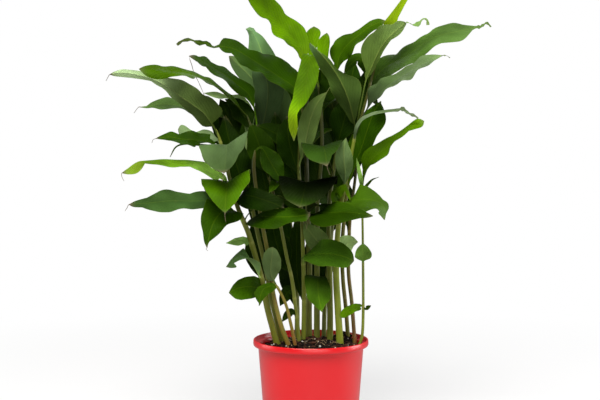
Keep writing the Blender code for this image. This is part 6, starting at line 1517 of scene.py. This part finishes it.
def scatter(name, mats, count, sizes, flat, seed, lift, rough, corners=1):
    """Loose lumps lying on the soil, clear of the canes."""
    rng = random.Random(seed)
    feet = [(spot(*places[0]), r0 * 0.001) for _, r0, _, places in CANES]
    bm = bmesh.new()
    made = 0
    while made < count:
        r, a = 0.0715 * math.sqrt(rng.random()), rng.uniform(0, math.tau)
        x, y = r * math.cos(a), r * math.sin(a)
        size = rng.uniform(*sizes) * (0.6 + 0.4 * rng.random())
        if any(math.hypot(x - f.x, y - f.y) < fr + size * 0.7 for f, fr in feet):
            continue
        lump = bmesh.ops.create_icosphere(bm, subdivisions=corners, radius=1.0)["verts"]
        sx, sy, sz = size * rng.uniform(0.7, 1.3), size * rng.uniform(0.35, 0.8), size * rng.uniform(*flat)
        turn = Euler((rng.uniform(-0.6, 0.6), rng.uniform(-0.6, 0.6), rng.uniform(0, math.tau))).to_matrix()
        z = ground(x, y) + sz * lift
        shift = Vector((rng.uniform(0, 90), rng.uniform(0, 90), 0))
        mat_index = rng.randrange(len(mats))
        for v in lump:
            k = 1 + rough * noise.noise(v.co * 1.7 + shift)
            v.co = turn @ Vector((v.co.x * sx * k, v.co.y * sy * k, v.co.z * sz * k)) + Vector((x, y, z))
        for f in {f for v in lump for f in v.link_faces}:
            f.material_index = mat_index
        made += 1
    mesh = bpy.data.meshes.new(name)
    bm.to_mesh(mesh)
    bm.free()
    for mat in mats:
        mesh.materials.append(mat)
    mesh.shade_smooth()
    mesh.set_sharp_from_angle(angle=math.radians(42))
    ob = bpy.data.objects.new(name, mesh)
    bpy.context.scene.collection.objects.link(ob)
    return ob


def fibres(mat, count, seed):
    """Thin curved rootlets and straw on the soil."""
    rng = random.Random(seed)
    bm = bmesh.new()
    for _ in range(count):
        r, a = 0.066 * math.sqrt(rng.random()), rng.uniform(0, math.tau)
        x, y, way = r * math.cos(a), r * math.sin(a), rng.uniform(0, math.tau)
        step, bend = rng.uniform(0.0012, 0.0028), rng.uniform(-0.28, 0.28)
        rad = rng.uniform(0.00025, 0.00055)
        line = []
        for k in range(9):
            if math.hypot(x, y) > 0.0715:
                break
            line.append(Vector((x, y, ground(x, y) + rad * 1.5 + 0.0011 * math.sin(k / 8 * math.pi))))
            x, y, way = x + step * math.cos(way), y + step * math.sin(way), way + bend + rng.uniform(-0.2, 0.2)
        if len(line) < 4:
            continue
        mesh = tube("fibre", line, [rad * (1 - 0.5 * k / len(line)) for k in range(len(line))], 5)
        bm.from_mesh(mesh)
        bpy.data.meshes.remove(mesh)
    mesh = finish_mesh("soil_fibres", bm)
    mesh.materials.append(mat)
    mesh.shade_smooth()
    ob = bpy.data.objects.new("soil_fibres", mesh)
    bpy.context.scene.collection.objects.link(ob)
    return ob


# ----------------------------------------------------------------------- pot
def outer_radius(z):
    return BASE_RADIUS + (WALL_TOP_RADIUS - BASE_RADIUS) * z / (POT_HEIGHT - LIP_HEIGHT)


def fine_pot(mat):
    """The pot turned about Z, with a rolled rim and drain holes."""
    lip, top = POT_HEIGHT - LIP_HEIGHT, POT_HEIGHT
    under = outer_radius(lip)
    prof = [(0.0, 0.0), (0.030, 0.0), (BASE_RADIUS - 0.0030, 0.0), (BASE_RADIUS - 0.0014, 0.0002),
            (BASE_RADIUS - 0.0004, 0.0009), (BASE_RADIUS, 0.0020)]
    prof += [(outer_radius(z), z) for z in (0.006, 0.02, 0.04, 0.06, 0.08, 0.10, 0.12, lip - 0.006)]
    prof += [(under, lip - 0.0012), (under + 0.0004, lip - 0.0004)]
    prof += [(RIM_RADIUS - 0.0022, lip - 0.0001), (RIM_RADIUS - 0.0011, lip + 0.0003), (RIM_RADIUS - 0.0004, lip + 0.0011)]
    for k in range(1, 4):
        prof.append((RIM_RADIUS - 0.0004 + 0.0004 * math.sin(k / 4 * math.pi), lip + 0.0011 + 0.0052 * k / 4))
    for k in range(0, 9):
        a = math.pi * k / 8
        prof.append((RIM_RADIUS - 0.0016 + 0.0013 * math.cos(a), top - 0.0016 + 0.0016 * math.sin(a)))
    prof += [(RIM_RADIUS - 0.0032, lip + 0.0045), (RIM_RADIUS - 0.0037, lip + 0.0028),
             (under - WALL + 0.0006, lip + 0.0016), (under - WALL, lip + 0.0004)]
    prof += [(outer_radius(z) - WALL, z) for z in (lip - 0.004, 0.11, 0.08, 0.05, 0.02, FLOOR + 0.006)]
    prof += [(BASE_RADIUS - 0.0030, FLOOR + 0.0016), (BASE_RADIUS - 0.0050, FLOOR), (0.030, FLOOR), (0.0, FLOOR)]
    bm = bmesh.new()
    rows = []
    for r, z in prof:
        if r == 0.0:
            rows.append([bm.verts.new((0, 0, z))])
        else:
            rows.append([bm.verts.new((r * math.cos(a), r * math.sin(a), z))
                         for a in (math.tau * k / POT_ROUND for k in range(POT_ROUND))])
    for a, b in zip(rows, rows[1:]):
        for k in range(POT_ROUND):
            q = (k + 1) % POT_ROUND
            if len(a) == 1:
                bm.faces.new((a[0], b[q], b[k]))
            elif len(b) == 1:
                bm.faces.new((a[k], a[q], b[0]))
            else:
                bm.faces.new((a[k], a[q], b[q], b[k]))
    mesh = finish_mesh("nursery_pot", bm)
    ob = bpy.data.objects.new("nursery_pot", mesh)
    bpy.context.scene.collection.objects.link(ob)
    mesh.materials.append(mat)
    bm = bmesh.new()
    for k in range(DRAIN_COUNT):
        a = math.tau * (k + 0.5) / DRAIN_COUNT
        made = bmesh.ops.create_cone(bm, cap_ends=True, segments=32, radius1=DRAIN_RADIUS,
                                     radius2=DRAIN_RADIUS, depth=0.02)
        bmesh.ops.translate(bm, verts=made["verts"],
                            vec=(DRAIN_RING * math.cos(a), DRAIN_RING * math.sin(a), 0.005))
    tool = bpy.data.objects.new("drain_cutter", finish_mesh("drain_cutter", bm))
    bpy.context.scene.collection.objects.link(tool)
    mod = ob.modifiers.new("cut", "BOOLEAN")
    mod.operation = "DIFFERENCE"
    mod.solver = "EXACT"
    mod.object = tool
    bpy.context.view_layer.update()
    done = bpy.data.meshes.new_from_object(ob.evaluated_get(bpy.context.evaluated_depsgraph_get()))
    ob.modifiers.clear()
    ob.data = done
    done.name = "nursery_pot"
    bpy.data.objects.remove(tool, do_unlink=True)
    done.shade_smooth()
    done.set_sharp_from_angle(angle=math.radians(35))
    return ob


# --------------------------------------------------------------------- stage
def stage_and_light():
    scene = bpy.context.scene
    scene.view_settings.view_transform = "Standard"
    scene.view_settings.look = "None"
    scene.view_settings.exposure = 0.0
    world = bpy.data.worlds.new("studio")
    world.use_nodes = True
    tree = world.node_tree
    glow = tree.nodes["Background"]
    glow.inputs[0].default_value = (1.0, 1.0, 1.0, 1)
    path = tree.nodes.new("ShaderNodeLightPath")
    level = tree.nodes.new("ShaderNodeMapRange")
    tree.links.new(path.outputs["Is Camera Ray"], level.inputs[0])
    level.inputs[3].default_value = WORLD_LIGHT
    level.inputs[4].default_value = 1.0
    tree.links.new(level.outputs[0], glow.inputs[1])
    scene.world = world

    net = Net("pale_floor")
    grain = net.noise(3.0, 3.0)
    net.put(net.shader.inputs["Base Color"], net.mix(grain, (0.86, 0.855, 0.85), (0.90, 0.895, 0.89)))
    net.shader.inputs["Roughness"].default_value = 0.75
    net.shader.inputs["Specular IOR Level"].default_value = 0.15
    # the floor fades to plain white away from the pot
    far = net.nodes.new("ShaderNodeVectorMath")
    far.operation = "LENGTH"
    net.links.new(net.place(), far.inputs[0])
    glow = net.nodes.new("ShaderNodeEmission")
    glow.inputs[1].default_value = 1.0
    blend = net.nodes.new("ShaderNodeMixShader")
    net.links.new(net.ramp(far.outputs["Value"], 0.25, 1.5, 0.55, 1.0), blend.inputs[0])
    seen = net.nodes.new("ShaderNodeLightPath")
    net.links.new(net.ramp(seen.outputs["Is Camera Ray"], 0.0, 1.0, FLOOR_LIGHT, 1.0), glow.inputs[1])
    net.links.new(net.shader.outputs[0], blend.inputs[1])
    net.links.new(glow.outputs[0], blend.inputs[2])
    net.links.new(blend.outputs[0], net.nodes["Material Output"].inputs[0])
    bm = bmesh.new()
    bmesh.ops.create_circle(bm, cap_ends=True, segments=96, radius=9.0)
    floor = bpy.data.objects.new("studio_floor", finish_mesh("studio_floor", bm))
    floor.data.materials.append(net.mat)
    scene.collection.objects.link(floor)
    floor.location.z = -0.0004
    floor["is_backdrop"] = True

    for name, place, aim, size, power, colour in LAMPS:
        light = bpy.data.lights.new(name, "AREA")
        light.shape = "RECTANGLE"
        light.size, light.size_y = size
        light.energy = power
        light.color = colour
        ob = bpy.data.objects.new(name, light)
        ob.location = place
        ob.rotation_euler = (Vector(aim) - Vector(place)).to_track_quat("-Z", "Y").to_euler()
        scene.collection.objects.link(ob)

    cam = bpy.data.cameras.new("camera")
    cam.sensor_width = 36.0
    cam.lens = FAR / 600 * 36.0
    cam.clip_start, cam.clip_end = 0.05, 60.0
    ob = bpy.data.objects.new("camera", cam)
    ob.location = EYE
    ob.rotation_euler = (math.pi / 2, 0, 0)
    scene.collection.objects.link(ob)
    scene.camera = ob


WORLD_LIGHT = 0.14
FLOOR_LIGHT = 0.20
LAMPS = [
    ("key", (-0.35, -1.4, 2.1), (0, 0, 0.35), (1.5, 1.2), 66.0, (1.0, 0.99, 0.97)),
    ("front", (0.4, -2.8, 0.5), (0, 0, 0.15), (2.4, 1.2), 24.0, (1.0, 0.99, 0.98)),
    ("left", (-1.9, 0.2, 0.6), (0, 0, 0.15), (0.9, 1.2), 11.0, (1.0, 1.0, 1.0)),
    ("right", (1.9, 0.2, 0.5), (0, 0, 0.10), (0.9, 1.2), 24.0, (0.98, 0.99, 1.0)),
    ("back", (0.2, 1.6, 1.9), (0, 0, 0.40), (1.8, 1.2), 13.0, (1.0, 1.0, 1.0)),
]


# --------------------------------------------------------------------- build
def main():
    trace_canes()
    cane_trees = {}
    for name, r0, r1, places in CANES:
        line, radii = CANE_LINES[name]
        bm = bmesh.new()
        mesh = tube(name, line, radii)
        bm.from_mesh(mesh)
        bpy.data.meshes.remove(mesh)
        cane_trees[name] = BVHTree.FromBMesh(bm)
        bm.free()
    settled = settle(cane_trees)

    bases = {}
    for leaf, push in settled:
        line, radii = CANE_LINES[leaf[1]]
        best, hub, share = nearest_on(line, spot(*leaf[7][0]))
        bases.setdefault(leaf[1], []).append((best + share) / (len(line) - 1))
    trace_fine_canes(bases)

    upper = leaf_material("leaf_upper", False)
    under = leaf_material("leaf_under", True)
    skin = cane_material()
    grown = {name: Build() for name, _, _, _ in CANES}
    for index, (leaf, push) in enumerate(settled):
        joined = leaf[0] == leaf[1]
        plain = leaf not in LEAVES
        build = grown[leaf[1]] if joined else Build()
        look = LOOK.get(leaf[0]) or LOOK.get("%s@%g" % (leaf[0], leaf[7][-1][0]), {})
        lamina(build, leaf, push, look, index * 7 + 3, PLAIN_ROWS if plain else ROWS,
               PLAIN_ACROSS if plain else ACROSS)
        if not joined:
            ob = build.finish("blade_" + leaf[0][5:], [upper, under])
            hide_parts(leaf[0])
            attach(ob, "root")
    for name, build in grown.items():
        stem(build, name, 2)
        ob = build.finish("shoot_" + name[5:], [upper, under, skin])
        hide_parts(name)
        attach(ob, "root")

    pot = fine_pot(pot_material())
    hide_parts("pot")
    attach(pot, "root")
    peat = speckled("peat", (0.003, 0.0015, 0.001), (0.020, 0.009, 0.005), 320.0, 0.95)
    soil = earth(peat)
    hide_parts("soil")
    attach(soil, "root")
    bark = [speckled("bark_dark", (0.004, 0.002, 0.001), (0.022, 0.009, 0.005), 260.0, 0.85),
            speckled("bark_brown", (0.022, 0.008, 0.004), (0.105, 0.040, 0.020), 260.0, 0.8),
            speckled("bark_black", (0.002, 0.001, 0.001), (0.009, 0.005, 0.003), 260.0, 0.9)]
    pale = [speckled("perlite", (0.48, 0.44, 0.36), (0.80, 0.78, 0.70), 500.0, 0.8, 0.0003),
            speckled("grit_tan", (0.26, 0.17, 0.08), (0.50, 0.37, 0.20), 500.0, 0.8, 0.0003)]
    straw = speckled("straw", (0.16, 0.10, 0.05), (0.40, 0.28, 0.15), 600.0, 0.75, 0.0002)
    for ob in (scatter("soil_bark", bark, 520, (0.0020, 0.0062), (0.22, 0.55), 11, 0.35, 0.55),
               scatter("soil_grit", pale, 84, (0.0010, 0.0024), (0.6, 1.0), 23, 0.5, 0.35, 2),
               fibres(straw, 60, 31)):
        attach(ob, "root")
    stage_and_light()


main()
drawn = sum(len(p.vertices) - 2 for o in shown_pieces() for p in o.data.polygons)
print("triangles:", drawn)
